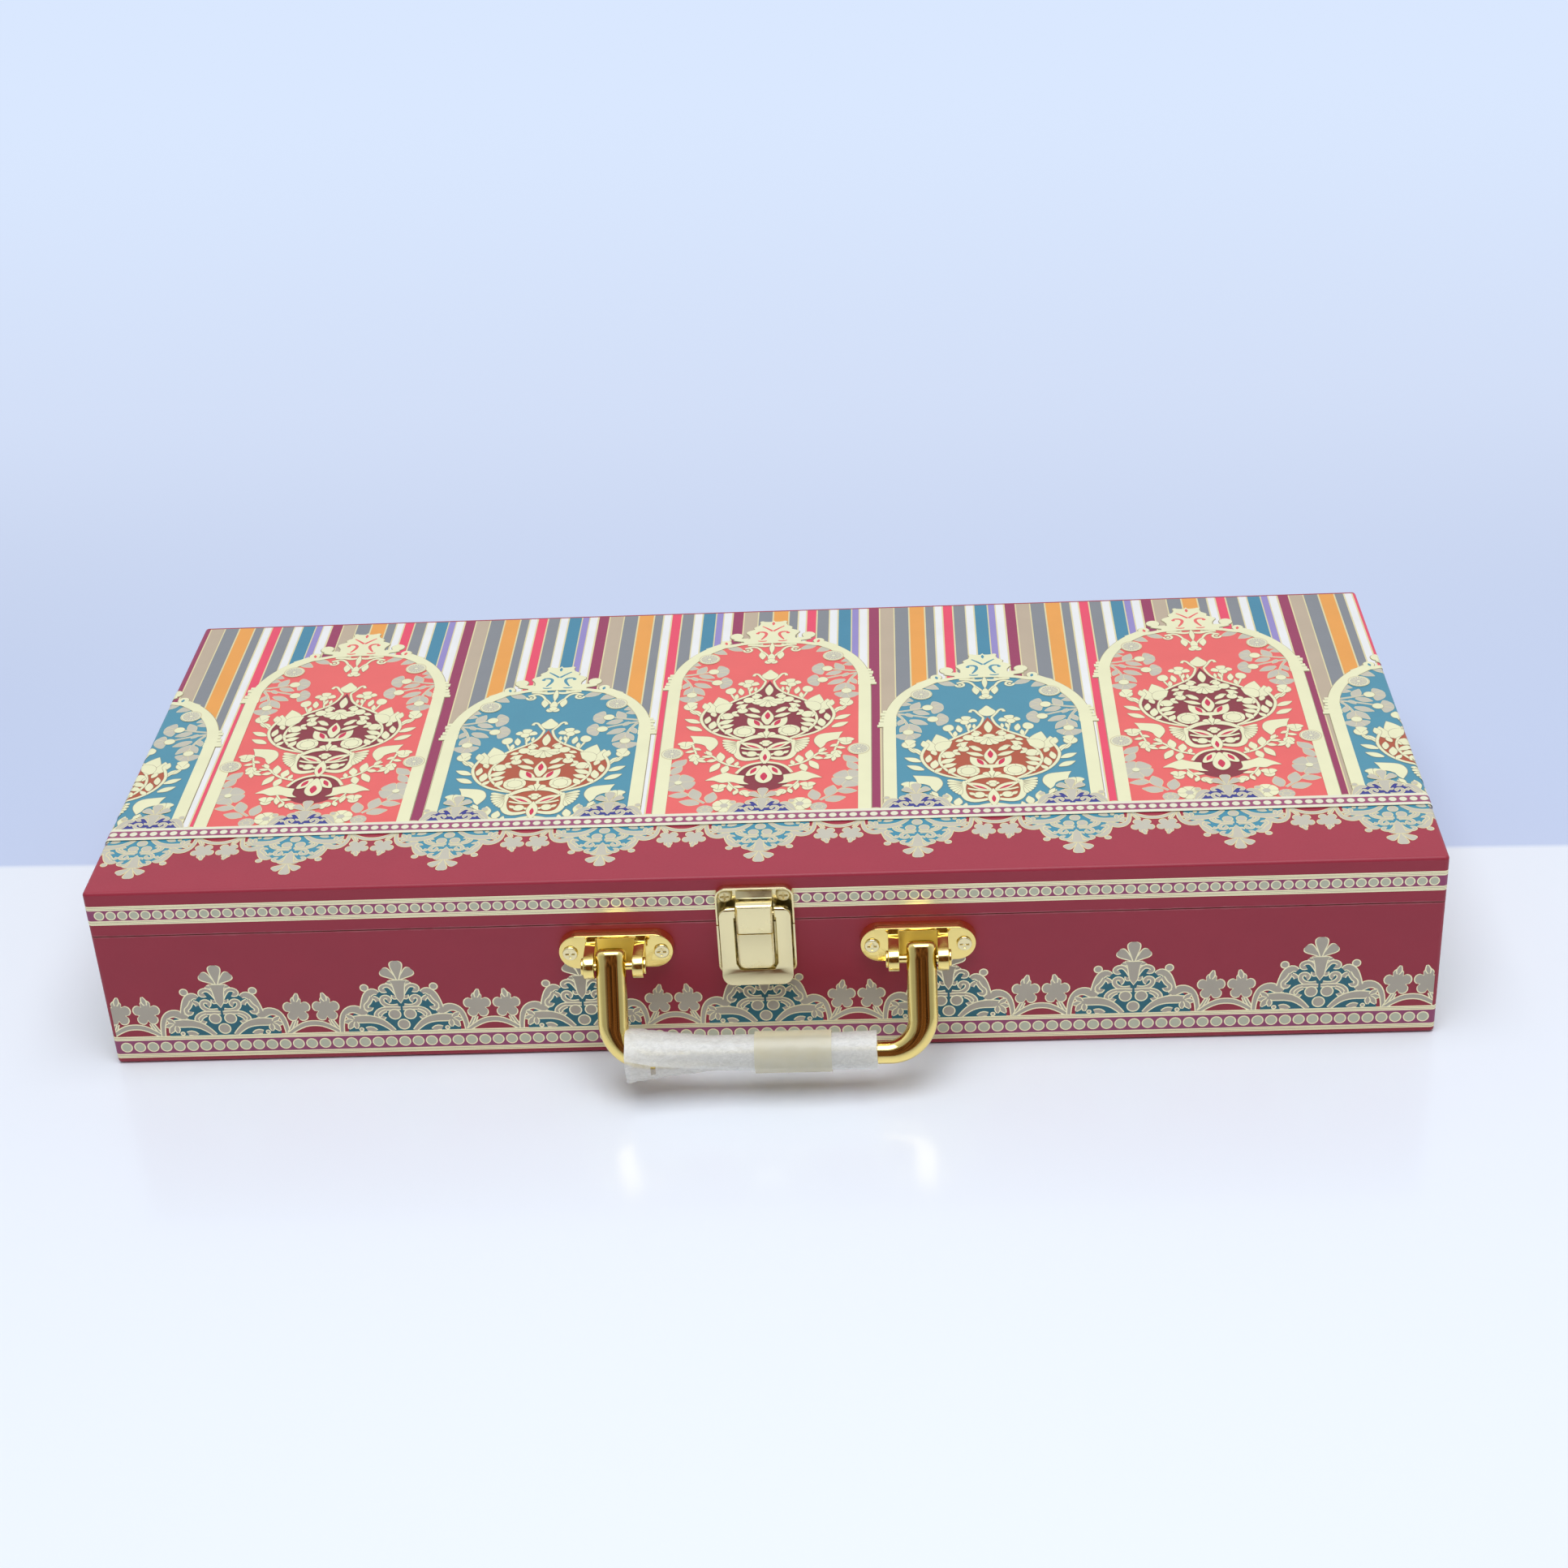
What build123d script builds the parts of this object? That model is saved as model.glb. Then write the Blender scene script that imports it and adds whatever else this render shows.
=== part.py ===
from build123d import *
import math
import os

os.makedirs("parts", exist_ok=True)

# Jar gift box: a flat fibreboard case covered in printed paper, with a gilt latch,
# a swinging carrying handle, two rear hinges and ten capped jars inside.
# The origin is the centre of the underside. +X runs along the length, -Y is the front.

# Case, measured outside the paper
box_length = 457.0
box_depth = 196.0
base_height = 53.2
seam_gap = 0.4
lid_height = 17.4
wall = 5.0
floor_board = 4.0
roof_board = 4.0
paper = 0.3
underside_sheet = 0.3
underside_margin = 3.0
corner_radius = 1.5
edge_radius = 1.2

# Handle brackets, pins and bar
handle_x = 1.9
bracket_spacing = 102.0
bracket_length = 39.4
bracket_height = 13.7
bracket_thick = 4.0
bracket_taper = 5.0
bracket_drop = 8.6
bracket_screw_pitch = 31.0
bracket_pocket_depth = 1.4
bracket_pocket_height = 10.6
ear_width = 3.6
ear_gap = 12.9
ear_radius = 4.2
pin_proud = 12.4
pin_radius = 1.4
pin_head_radius = 2.9
pin_head = 0.9
leg_spacing = 103.9
leg_width = 10.2
leg_thick = 8.0
leg_corner = 3.0
leg_rise = 5.8
leg_end_round = 1.8
grip_size = 7.6
grip_corner = 3.7
grip_drop = 31.6
bend_radius = 12.0
rest_tilt = 24.0
foam_left = -49.3
foam_right = 36.3
foam_radius = 6.9
foam_left_radius = 8.4
foam_right_radius = 7.3
foam_flare = 27.0
foam_offset = 1.0
foam_clear = 0.15
tape_left = -4.6
tape_right = 21.2
tape_thick = 0.2

# Latch: keeper plate on the lid, base plate below the seam, frame hinged on the keeper
latch_x = -1.4
latch_width = 26.4
latch_sheet = 0.8
latch_rim = 0.7
latch_rim_proud = 2.8
latch_corner = 3.6
keeper_height = 14.2
keeper_screw_clear = 0.2
strike_height = 19.6
block_width = 12.2
block_proud = 8.6
block_height = 10.8
block_slope = 2.2
block_edge = 0.7
hook_height = 14.0
hook_corner = 2.6
frame_width = 24.1
frame_back = 3.2
frame_thick = 2.4
frame_over_pin = 2.6
frame_bar = 5.3
frame_corner = 3.6
frame_edge_share = 0.45
slot_width = 14.1
slot_clear = 2.1
slot_chamfer = 2.4
stub_height = 3.7
stub_clear = 0.35
lip_rise = 0.5
lip_out = 1.6
latch_pin_rise = 5.4
latch_pin_radius = 0.7
latch_pin_length = 20.0

# Rear hinges
hinge_inset = 78.5
hinge_length = 38.0
hinge_axis_proud = 2.5
barrel_radius = 2.2
knuckle_count = 5
knuckle_gap = 0.3
leaf_thick = 1.0
leaf_height = 11.0
hinge_pin_radius = 0.9
hinge_screw_pitch = 13.0

# Fixings and fits
running_fit = 0.05
screw_fit = 0.05
small_shank = 1.1
small_screw_length = 4.4
latch_screw_head = 2.45
latch_screw_head_height = 1.6
latch_screw_round = 0.9
latch_screw_pitch = 19.6
hinge_screw_head = 2.1
hinge_screw_head_height = 0.7
bracket_screw_head = 2.6
bracket_screw_head_height = 0.8
bracket_shank = 1.5
nut_across_flats = 5.5
nut_thick = 2.4
thread_end = 0.5
cross_width = 0.7
cross_share = 0.62

# Jars, caps and the board that holds them
jar_columns = 5
jar_rows = 2
jar_end_gap = 2.9
jar_side_gap = 1.4
jar_gap = 10.0
jar_wall = 3.0
jar_foot = 4.0
jar_shoulder_z = 36.0
jar_neck_inset = 5.5
jar_neck_z = 41.0
jar_height = 52.0
jar_round = 5.0
neck_bead = 1.2
cap_clear = 0.3
cap_sheet = 0.6
cap_skirt = 10.0
cap_round = 1.5
insert_thick = 3.0
insert_z = 30.0
insert_clear = 0.6
jar_hole_clear = 0.6
rest_thick = 4.0

# Levels and inside sizes that follow from the sizes above
front_y = -box_depth / 2
back_y = box_depth / 2
lid_low = base_height + seam_gap
box_height = lid_low + lid_height
seam_z = base_height + seam_gap / 2
floor_low = underside_sheet + paper
floor_top = floor_low + floor_board
roof_low = box_height - paper - roof_board
inside_length = box_length - 2 * (paper + wall)
inside_depth = box_depth - 2 * (paper + wall)
clear_length = inside_length - 2 * paper
clear_depth = inside_depth - 2 * paper
jar_floor = floor_top + paper
hinge_pitch = box_length - 2 * hinge_inset
bracket_z = base_height - bracket_drop
latch_pin_z = lid_low + latch_pin_rise
frame_top = latch_pin_z + frame_over_pin
slot_bottom = base_height - hook_height - slot_clear
frame_bottom = slot_bottom - frame_bar
lip_bend = slot_bottom + lip_rise
jar_pitch_x = (clear_length - 2 * jar_end_gap) / jar_columns
jar_pitch_y = (clear_depth - 2 * jar_side_gap) / jar_rows
jar_radius = (min(jar_pitch_x, jar_pitch_y) - jar_gap) / 2
jar_neck_radius = jar_radius - jar_neck_inset
cap_radius = jar_neck_radius + neck_bead + cap_clear + cap_sheet


def front_face(proud):
    """Plane parallel to the front, that far out of it: local x is X, local y is Z."""
    return Plane(origin=(0, front_y - proud, 0), x_dir=(1, 0, 0), z_dir=(0, -1, 0))


def back_face(proud):
    """Plane parallel to the back, that far out of it: local x is -X, local y is Z."""
    return Plane(origin=(0, back_y + proud, 0), x_dir=(-1, 0, 0), z_dir=(0, 1, 0))


def cut_holes(face, places, radius, depth):
    """Round holes into the part being built, from the face inwards."""
    with BuildSketch(face) as holes:
        with Locations(*places):
            Circle(radius)
    extrude(holes.sketch, amount=-depth, mode=Mode.SUBTRACT)


def cross_screws(face, places, head_radius, head_height, head_round, shank, length):
    """Cross-head screws whose heads sit on the face and whose shanks run into it."""
    with BuildPart() as screws:
        with BuildSketch(face):
            with Locations(*places):
                Circle(head_radius)
        extrude(amount=head_height)
        rims = screws.edges().sort_by(Axis(face.origin, face.z_dir))[-len(places):]
        fillet(rims, head_round)
        with BuildSketch(face):
            with Locations(*places):
                Circle(shank)
        extrude(amount=-length)
        with BuildSketch(face.offset(head_height)):
            with Locations(*places):
                Rectangle(2 * head_radius * cross_share, cross_width)
                Rectangle(cross_width, 2 * head_radius * cross_share)
        extrude(amount=-head_height * cross_share, mode=Mode.SUBTRACT)
    return screws


# Places of the fixings, in the planes of the front and back faces
bracket_centres = [handle_x - bracket_spacing / 2, handle_x + bracket_spacing / 2]
bracket_screw_places = [
    (centre + side * bracket_screw_pitch / 2, bracket_z)
    for centre in bracket_centres
    for side in (-1, 1)
]
keeper_screw_z = lid_low + keeper_height - latch_rim - latch_screw_head - keeper_screw_clear
keeper_screw_places = [
    (latch_x + side * latch_screw_pitch / 2, keeper_screw_z) for side in (-1, 1)
]
strike_low = base_height - strike_height
strike_screw_places = [
    (latch_x + side * latch_screw_pitch / 2, strike_low + strike_height / 2)
    for side in (-1, 1)
]
hinge_centres = [-hinge_pitch / 2, hinge_pitch / 2]
leaf_clear = barrel_radius + knuckle_gap
leaf_screw_drop = leaf_clear + leaf_height / 2
hinge_screw_columns = [
    centre + step * hinge_screw_pitch for centre in hinge_centres for step in (-1, 0, 1)
]
base_hinge_screw_places = [(x, seam_z - leaf_screw_drop) for x in hinge_screw_columns]
lid_hinge_screw_places = [(x, seam_z + leaf_screw_drop) for x in hinge_screw_columns]
bracket_hole_depth = 2 * paper + wall
small_hole = small_shank + screw_fit
small_hole_depth = small_screw_length

# Solid block that the base boards are cut from, inside the paper
with BuildPart() as base_core:
    with BuildSketch(Plane.XY.offset(floor_low)):
        RectangleRounded(box_length - 2 * paper, box_depth - 2 * paper, corner_radius - paper)
    extrude(amount=base_height - floor_low)
    fillet(base_core.edges().group_by(Axis.Z)[0], edge_radius - paper)

# Solid block that the lid boards are cut from, inside the paper
with BuildPart() as lid_core:
    with BuildSketch(Plane.XY.offset(lid_low)):
        RectangleRounded(box_length - 2 * paper, box_depth - 2 * paper, corner_radius - paper)
    extrude(amount=lid_height - paper)
    fillet(lid_core.edges().group_by(Axis.Z)[-1], edge_radius - paper)

# Base boards
with BuildPart() as base_bottom_board:
    add(base_core.part)
    split(bisect_by=Plane.XY.offset(floor_top), keep=Keep.BOTTOM)
base_bottom_board.part.label = "base_bottom_board"
export_step(base_bottom_board.part, "parts/base_bottom_board.step")

with BuildPart() as base_front_wall:
    add(base_core.part)
    split(bisect_by=Plane.XY.offset(floor_top), keep=Keep.TOP)
    split(bisect_by=Plane.XZ.offset(inside_depth / 2), keep=Keep.TOP)
    cut_holes(front_face(0), bracket_screw_places, bracket_shank + screw_fit, bracket_hole_depth)
    cut_holes(front_face(0), strike_screw_places, small_hole, small_hole_depth)
base_front_wall.part.label = "base_front_wall"
export_step(base_front_wall.part, "parts/base_front_wall.step")

with BuildPart() as base_back_wall:
    add(base_core.part)
    split(bisect_by=Plane.XY.offset(floor_top), keep=Keep.TOP)
    split(bisect_by=Plane.XZ.offset(-inside_depth / 2), keep=Keep.BOTTOM)
    cut_holes(back_face(0), base_hinge_screw_places, small_hole, small_hole_depth)
base_back_wall.part.label = "base_back_wall"
export_step(base_back_wall.part, "parts/base_back_wall.step")

with BuildPart() as base_left_wall:
    add(base_core.part)
    split(bisect_by=Plane.XY.offset(floor_top), keep=Keep.TOP)
    split(bisect_by=Plane.YZ.offset(-inside_length / 2), keep=Keep.BOTTOM)
    split(bisect_by=Plane.XZ.offset(inside_depth / 2), keep=Keep.BOTTOM)
    split(bisect_by=Plane.XZ.offset(-inside_depth / 2), keep=Keep.TOP)
base_left_wall.part.label = "base_left_wall"
export_step(base_left_wall.part, "parts/base_left_wall.step")

with BuildPart() as base_right_wall:
    add(base_core.part)
    split(bisect_by=Plane.XY.offset(floor_top), keep=Keep.TOP)
    split(bisect_by=Plane.YZ.offset(inside_length / 2), keep=Keep.TOP)
    split(bisect_by=Plane.XZ.offset(inside_depth / 2), keep=Keep.BOTTOM)
    split(bisect_by=Plane.XZ.offset(-inside_depth / 2), keep=Keep.TOP)
base_right_wall.part.label = "base_right_wall"
export_step(base_right_wall.part, "parts/base_right_wall.step")

# Printed paper round the outside of the base, turned under it
with BuildPart() as base_print_wrap:
    with BuildSketch(Plane.XY.offset(underside_sheet)):
        RectangleRounded(box_length, box_depth, corner_radius)
    extrude(amount=base_height - underside_sheet)
    fillet(base_print_wrap.edges().group_by(Axis.Z)[0], edge_radius)
    add(base_core.part, mode=Mode.SUBTRACT)
    cut_holes(front_face(0), bracket_screw_places, bracket_shank + screw_fit, bracket_hole_depth)
    cut_holes(front_face(0), strike_screw_places, small_hole, small_hole_depth)
    cut_holes(back_face(0), base_hinge_screw_places, small_hole, small_hole_depth)
base_print_wrap.part.label = "base_print_wrap"
export_step(base_print_wrap.part, "parts/base_print_wrap.step")

# Plain sheet under the case that it stands on
with BuildPart() as base_underside_sheet:
    with BuildSketch():
        Rectangle(box_length - 2 * underside_margin, box_depth - 2 * underside_margin)
    extrude(amount=underside_sheet)
base_underside_sheet.part.label = "base_underside_sheet"
export_step(base_underside_sheet.part, "parts/base_underside_sheet.step")

# Paper lining of the base: floor and four sides
with BuildPart() as base_lining_paper:
    with BuildSketch(Plane.XY.offset(floor_top)):
        Rectangle(inside_length, inside_depth)
    extrude(amount=base_height - floor_top)
    with BuildSketch(Plane.XY.offset(jar_floor)):
        Rectangle(clear_length, clear_depth)
    extrude(amount=base_height - jar_floor, mode=Mode.SUBTRACT)
    cut_holes(front_face(0), bracket_screw_places, bracket_shank + screw_fit, bracket_hole_depth)
base_lining_paper.part.label = "base_lining_paper"
export_step(base_lining_paper.part, "parts/base_lining_paper.step")

# Lid boards
with BuildPart() as lid_top_board:
    add(lid_core.part)
    split(bisect_by=Plane.XY.offset(roof_low), keep=Keep.TOP)
lid_top_board.part.label = "lid_top_board"
export_step(lid_top_board.part, "parts/lid_top_board.step")

with BuildPart() as lid_front_rail:
    add(lid_core.part)
    split(bisect_by=Plane.XY.offset(roof_low), keep=Keep.BOTTOM)
    split(bisect_by=Plane.XZ.offset(inside_depth / 2), keep=Keep.TOP)
    cut_holes(front_face(0), keeper_screw_places, small_hole, small_hole_depth)
lid_front_rail.part.label = "lid_front_rail"
export_step(lid_front_rail.part, "parts/lid_front_rail.step")

with BuildPart() as lid_back_rail:
    add(lid_core.part)
    split(bisect_by=Plane.XY.offset(roof_low), keep=Keep.BOTTOM)
    split(bisect_by=Plane.XZ.offset(-inside_depth / 2), keep=Keep.BOTTOM)
    cut_holes(back_face(0), lid_hinge_screw_places, small_hole, small_hole_depth)
lid_back_rail.part.label = "lid_back_rail"
export_step(lid_back_rail.part, "parts/lid_back_rail.step")

with BuildPart() as lid_left_rail:
    add(lid_core.part)
    split(bisect_by=Plane.XY.offset(roof_low), keep=Keep.BOTTOM)
    split(bisect_by=Plane.YZ.offset(-inside_length / 2), keep=Keep.BOTTOM)
    split(bisect_by=Plane.XZ.offset(inside_depth / 2), keep=Keep.BOTTOM)
    split(bisect_by=Plane.XZ.offset(-inside_depth / 2), keep=Keep.TOP)
lid_left_rail.part.label = "lid_left_rail"
export_step(lid_left_rail.part, "parts/lid_left_rail.step")

with BuildPart() as lid_right_rail:
    add(lid_core.part)
    split(bisect_by=Plane.XY.offset(roof_low), keep=Keep.BOTTOM)
    split(bisect_by=Plane.YZ.offset(inside_length / 2), keep=Keep.TOP)
    split(bisect_by=Plane.XZ.offset(inside_depth / 2), keep=Keep.BOTTOM)
    split(bisect_by=Plane.XZ.offset(-inside_depth / 2), keep=Keep.TOP)
lid_right_rail.part.label = "lid_right_rail"
export_step(lid_right_rail.part, "parts/lid_right_rail.step")

# Printed paper over the top and the four edges of the lid
with BuildPart() as lid_print_wrap:
    with BuildSketch(Plane.XY.offset(lid_low)):
        RectangleRounded(box_length, box_depth, corner_radius)
    extrude(amount=lid_height)
    fillet(lid_print_wrap.edges().group_by(Axis.Z)[-1], edge_radius)
    add(lid_core.part, mode=Mode.SUBTRACT)
    cut_holes(front_face(0), keeper_screw_places, small_hole, small_hole_depth)
    cut_holes(back_face(0), lid_hinge_screw_places, small_hole, small_hole_depth)
lid_print_wrap.part.label = "lid_print_wrap"
export_step(lid_print_wrap.part, "parts/lid_print_wrap.step")

# Paper lining of the lid
with BuildPart() as lid_lining_paper:
    with BuildSketch(Plane.XY.offset(lid_low)):
        Rectangle(inside_length, inside_depth)
    extrude(amount=roof_low - lid_low)
    with BuildSketch(Plane.XY.offset(lid_low)):
        Rectangle(clear_length, clear_depth)
    extrude(amount=roof_low - lid_low - paper, mode=Mode.SUBTRACT)
lid_lining_paper.part.label = "lid_lining_paper"
export_step(lid_lining_paper.part, "parts/lid_lining_paper.step")

# Board with round holes that keeps the jars apart, on a rest along each long wall
jar_grid = GridLocations(jar_pitch_x, jar_pitch_y, jar_columns, jar_rows)
with BuildPart() as insert_board:
    with BuildSketch(Plane.XY.offset(insert_z)):
        Rectangle(clear_length - 2 * insert_clear, clear_depth - 2 * insert_clear)
        with jar_grid:
            Circle(jar_radius + jar_hole_clear, mode=Mode.SUBTRACT)
    extrude(amount=insert_thick)
insert_board.part.label = "insert_board"
export_step(insert_board.part, "parts/insert_board.step")

with BuildPart() as insert_rests:
    with BuildSketch(Plane.XY.offset(jar_floor)):
        with GridLocations(0, clear_depth - rest_thick, 1, 2):
            Rectangle(clear_length, rest_thick)
    extrude(amount=insert_z - jar_floor)
insert_rests.part.label = "insert_rests"
export_step(insert_rests.part, "parts/insert_rests.step")

# Ten squat glass jars, each with a pressed metal screw cap
rim_z = jar_floor + jar_height
cap_top = rim_z + cap_sheet
cap_low = cap_top - cap_skirt
neck_inner = jar_neck_radius - jar_wall
body_inner = jar_radius - jar_wall
bead_z = (cap_low + rim_z) / 2
jar_places = [(place.position.X, place.position.Y) for place in jar_grid.locations]
for number, (jar_x, jar_y) in enumerate(jar_places, start=1):
    jar_plane = Plane(origin=(jar_x, jar_y, 0), x_dir=(1, 0, 0), z_dir=(0, -1, 0))
    jar_axis = Axis((jar_x, jar_y, 0), (0, 0, 1))
    shoulder_z = jar_floor + jar_shoulder_z
    neck_z = jar_floor + jar_neck_z
    with BuildPart() as jar:
        with BuildSketch(jar_plane):
            with BuildLine():
                Polyline(
                    (0, jar_floor + jar_foot),
                    (0, jar_floor),
                    (jar_radius - jar_round, jar_floor),
                )
                RadiusArc(
                    (jar_radius - jar_round, jar_floor),
                    (jar_radius, jar_floor + jar_round),
                    -jar_round,
                )
                Polyline(
                    (jar_radius, jar_floor + jar_round),
                    (jar_radius, shoulder_z),
                    (jar_neck_radius, neck_z),
                    (jar_neck_radius, bead_z - neck_bead),
                    (jar_neck_radius + neck_bead, bead_z),
                    (jar_neck_radius, bead_z + neck_bead),
                    (jar_neck_radius, rim_z),
                    (neck_inner, rim_z),
                    (neck_inner, neck_z),
                    (body_inner, shoulder_z),
                    (body_inner, jar_floor + jar_foot + jar_round),
                    (body_inner - jar_round, jar_floor + jar_foot),
                    (0, jar_floor + jar_foot),
                )
            make_face()
        revolve(axis=jar_axis, revolution_arc=360)
    jar.part.label = f"jar_{number}"
    export_step(jar.part, f"parts/jar_{number}.step")

    with BuildPart() as jar_cap:
        with BuildSketch(Plane.XY.offset(cap_low)):
            with Locations((jar_x, jar_y)):
                Circle(cap_radius)
        extrude(amount=cap_skirt)
        fillet(jar_cap.edges().group_by(Axis.Z)[-1], cap_round)
        with BuildSketch(Plane.XY.offset(cap_low)):
            with Locations((jar_x, jar_y)):
                Circle(cap_radius - cap_sheet)
        extrude(amount=cap_skirt - cap_round - cap_sheet, mode=Mode.SUBTRACT)
        with BuildSketch(Plane.XY.offset(cap_low)):
            with Locations((jar_x, jar_y)):
                Circle(cap_radius - cap_sheet - cap_round / 2)
        extrude(amount=cap_skirt - cap_sheet, mode=Mode.SUBTRACT)
    jar_cap.part.label = f"jar_cap_{number}"
    export_step(jar_cap.part, f"parts/jar_cap_{number}.step")

# Handle brackets: a tapered oval plate with two ears that carry the pin
pin_y = front_y - pin_proud
ear_centre = (ear_gap + ear_width) / 2
for side_name, centre in zip(("left", "right"), bracket_centres):
    with BuildPart() as bracket:
        with BuildSketch(front_face(0)):
            with Locations((centre, bracket_z)):
                SlotOverall(bracket_length, bracket_height)
        extrude(amount=bracket_thick, taper=bracket_taper)
        with BuildSketch(front_face(bracket_thick)):
            with Locations((centre, bracket_z)):
                Rectangle(ear_gap, bracket_pocket_height)
        extrude(amount=-bracket_pocket_depth, mode=Mode.SUBTRACT)
        for side in (-1, 1):
            with BuildSketch(Plane.YZ.offset(centre + side * ear_centre)):
                with Locations((pin_y, bracket_z)):
                    Circle(ear_radius)
                with Locations(((pin_y + front_y) / 2, bracket_z)):
                    Rectangle(pin_proud, 2 * ear_radius)
            extrude(amount=ear_width / 2, both=True)
        with BuildSketch(Plane.YZ.offset(centre)):
            with Locations((pin_y, bracket_z)):
                Circle(pin_radius)
        extrude(amount=bracket_length, both=True, mode=Mode.SUBTRACT)
        near = [(x, z) for x, z in bracket_screw_places if abs(x - centre) < bracket_length]
        cut_holes(front_face(bracket_thick), near, bracket_shank + screw_fit, bracket_thick)
    bracket.part.label = f"handle_{side_name}_bracket"
    export_step(bracket.part, f"parts/handle_{side_name}_bracket.step")

with BuildPart() as handle_pins:
    for centre in bracket_centres:
        reach = ear_gap / 2 + ear_width
        with BuildSketch(Plane.YZ.offset(centre - reach)):
            with Locations((pin_y, bracket_z)):
                Circle(pin_radius)
        extrude(amount=2 * reach)
        for side in (-1, 1):
            with BuildSketch(Plane.YZ.offset(centre + side * reach)):
                with Locations((pin_y, bracket_z)):
                    Circle(pin_head_radius)
            extrude(amount=side * pin_head)
handle_pins.part.label = "handle_pins"
export_step(handle_pins.part, "parts/handle_pins.step")

bracket_screws = cross_screws(
    front_face(bracket_thick),
    bracket_screw_places,
    bracket_screw_head,
    bracket_screw_head_height,
    bracket_screw_head_height / 2,
    bracket_shank,
    bracket_thick + bracket_hole_depth + nut_thick + thread_end,
)
bracket_screws.part.label = "bracket_screws"
export_step(bracket_screws.part, "parts/bracket_screws.step")

with BuildPart() as bracket_nuts:
    with BuildSketch(front_face(-bracket_hole_depth)):
        with Locations(*bracket_screw_places):
            RegularPolygon(nut_across_flats / 2, 6, major_radius=False)
            Circle(bracket_shank, mode=Mode.SUBTRACT)
    extrude(amount=-nut_thick)
bracket_nuts.part.label = "bracket_nuts"
export_step(bracket_nuts.part, "parts/bracket_nuts.step")

# Handle bar, laid out in its own plane, which leans out from the front at rest
tilt = math.radians(rest_tilt)
handle_plane = Plane(
    origin=(handle_x, pin_y, bracket_z),
    x_dir=(1, 0, 0),
    z_dir=(0, -math.cos(tilt), math.sin(tilt)),
)
leg_x = leg_spacing / 2
bend_top = bend_radius - grip_drop
bend_steps = 4


def bar_section(share):
    """Plane square to the left bend, from the leg's end at 0 to the grip's at 1."""
    angle = share * math.pi / 2
    across = Vector(-math.cos(angle), -math.sin(angle), 0)
    along = Vector(math.sin(angle), -math.cos(angle), 0)
    centre = Vector(bend_radius - leg_x, bend_top, 0) + across * bend_radius
    return Plane(
        origin=handle_plane.from_local_coords(centre),
        x_dir=handle_plane.from_local_coords(across) - handle_plane.origin,
        z_dir=handle_plane.from_local_coords(along) - handle_plane.origin,
    )


def bar_shape(extra):
    """Bar swollen by extra on every side: legs, tapering bends and grip."""
    with BuildPart() as bar:
        with BuildSketch(bar_section(0)):
            RectangleRounded(leg_width + 2 * extra, leg_thick + 2 * extra, leg_corner)
        extrude(amount=-(leg_rise - bend_top))
        ends = bar.faces().sort_by(Axis((0, 0, 0), handle_plane.y_dir))[-1]
        fillet(ends.edges(), leg_end_round)
        for step in range(bend_steps + 1):
            share = step / bend_steps
            with BuildSketch(bar_section(share)):
                RectangleRounded(
                    leg_width + share * (grip_size - leg_width) + 2 * extra,
                    leg_thick + share * (grip_size - leg_thick) + 2 * extra,
                    leg_corner + share * (grip_corner - leg_corner),
                )
        loft()
        with BuildSketch(bar_section(1)):
            RectangleRounded(grip_size + 2 * extra, grip_size + 2 * extra, grip_corner)
        extrude(amount=leg_x - bend_radius)
        mirror(about=Plane.YZ.offset(handle_x))
    return bar


with BuildPart() as handle_bar:
    add(bar_shape(0).part)
    with BuildSketch(Plane.YZ.offset(handle_x)):
        with Locations((pin_y, bracket_z)):
            Circle(pin_radius + running_fit)
    extrude(amount=leg_spacing, both=True, mode=Mode.SUBTRACT)
handle_bar.part.label = "handle_bar"
export_step(handle_bar.part, "parts/handle_bar.step")

# Foam film wound round the grip, loose and flared at its left end
foam_y = foam_offset - grip_drop
foam_axis_point = handle_plane.from_local_coords(Vector(0, foam_y, 0))
foam_axis = Axis(foam_axis_point, (1, 0, 0))
bar_clearance = bar_shape(foam_clear)
with BuildPart() as handle_foam_wrap:
    with BuildSketch(handle_plane):
        with BuildLine():
            Polyline(
                (foam_right, foam_y + foam_right_radius),
                (foam_right, foam_y),
                (foam_left, foam_y),
                (foam_left, foam_y + foam_left_radius),
            )
            Spline(
                (foam_left, foam_y + foam_left_radius),
                (foam_left + foam_flare, foam_y + foam_radius),
                tangents=[(1, -0.1), (1, 0)],
            )
            Polyline(
                (foam_left + foam_flare, foam_y + foam_radius),
                (tape_right, foam_y + foam_radius),
                (foam_right, foam_y + foam_right_radius),
            )
        make_face()
    revolve(axis=foam_axis, revolution_arc=360)
    add(bar_clearance.part, mode=Mode.SUBTRACT)
handle_foam_wrap.part.label = "handle_foam_wrap"
export_step(handle_foam_wrap.part, "parts/handle_foam_wrap.step")

# Band of tape that holds the film closed
tape_plane = Plane(
    origin=handle_plane.from_local_coords(Vector(tape_left, foam_y, 0)),
    x_dir=(0, 1, 0),
    z_dir=(1, 0, 0),
)
with BuildPart() as handle_tape:
    with BuildSketch(tape_plane):
        Circle(foam_radius + tape_thick)
        Circle(foam_radius, mode=Mode.SUBTRACT)
    extrude(amount=tape_right - tape_left)
handle_tape.part.label = "handle_tape"
export_step(handle_tape.part, "parts/handle_tape.step")

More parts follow.
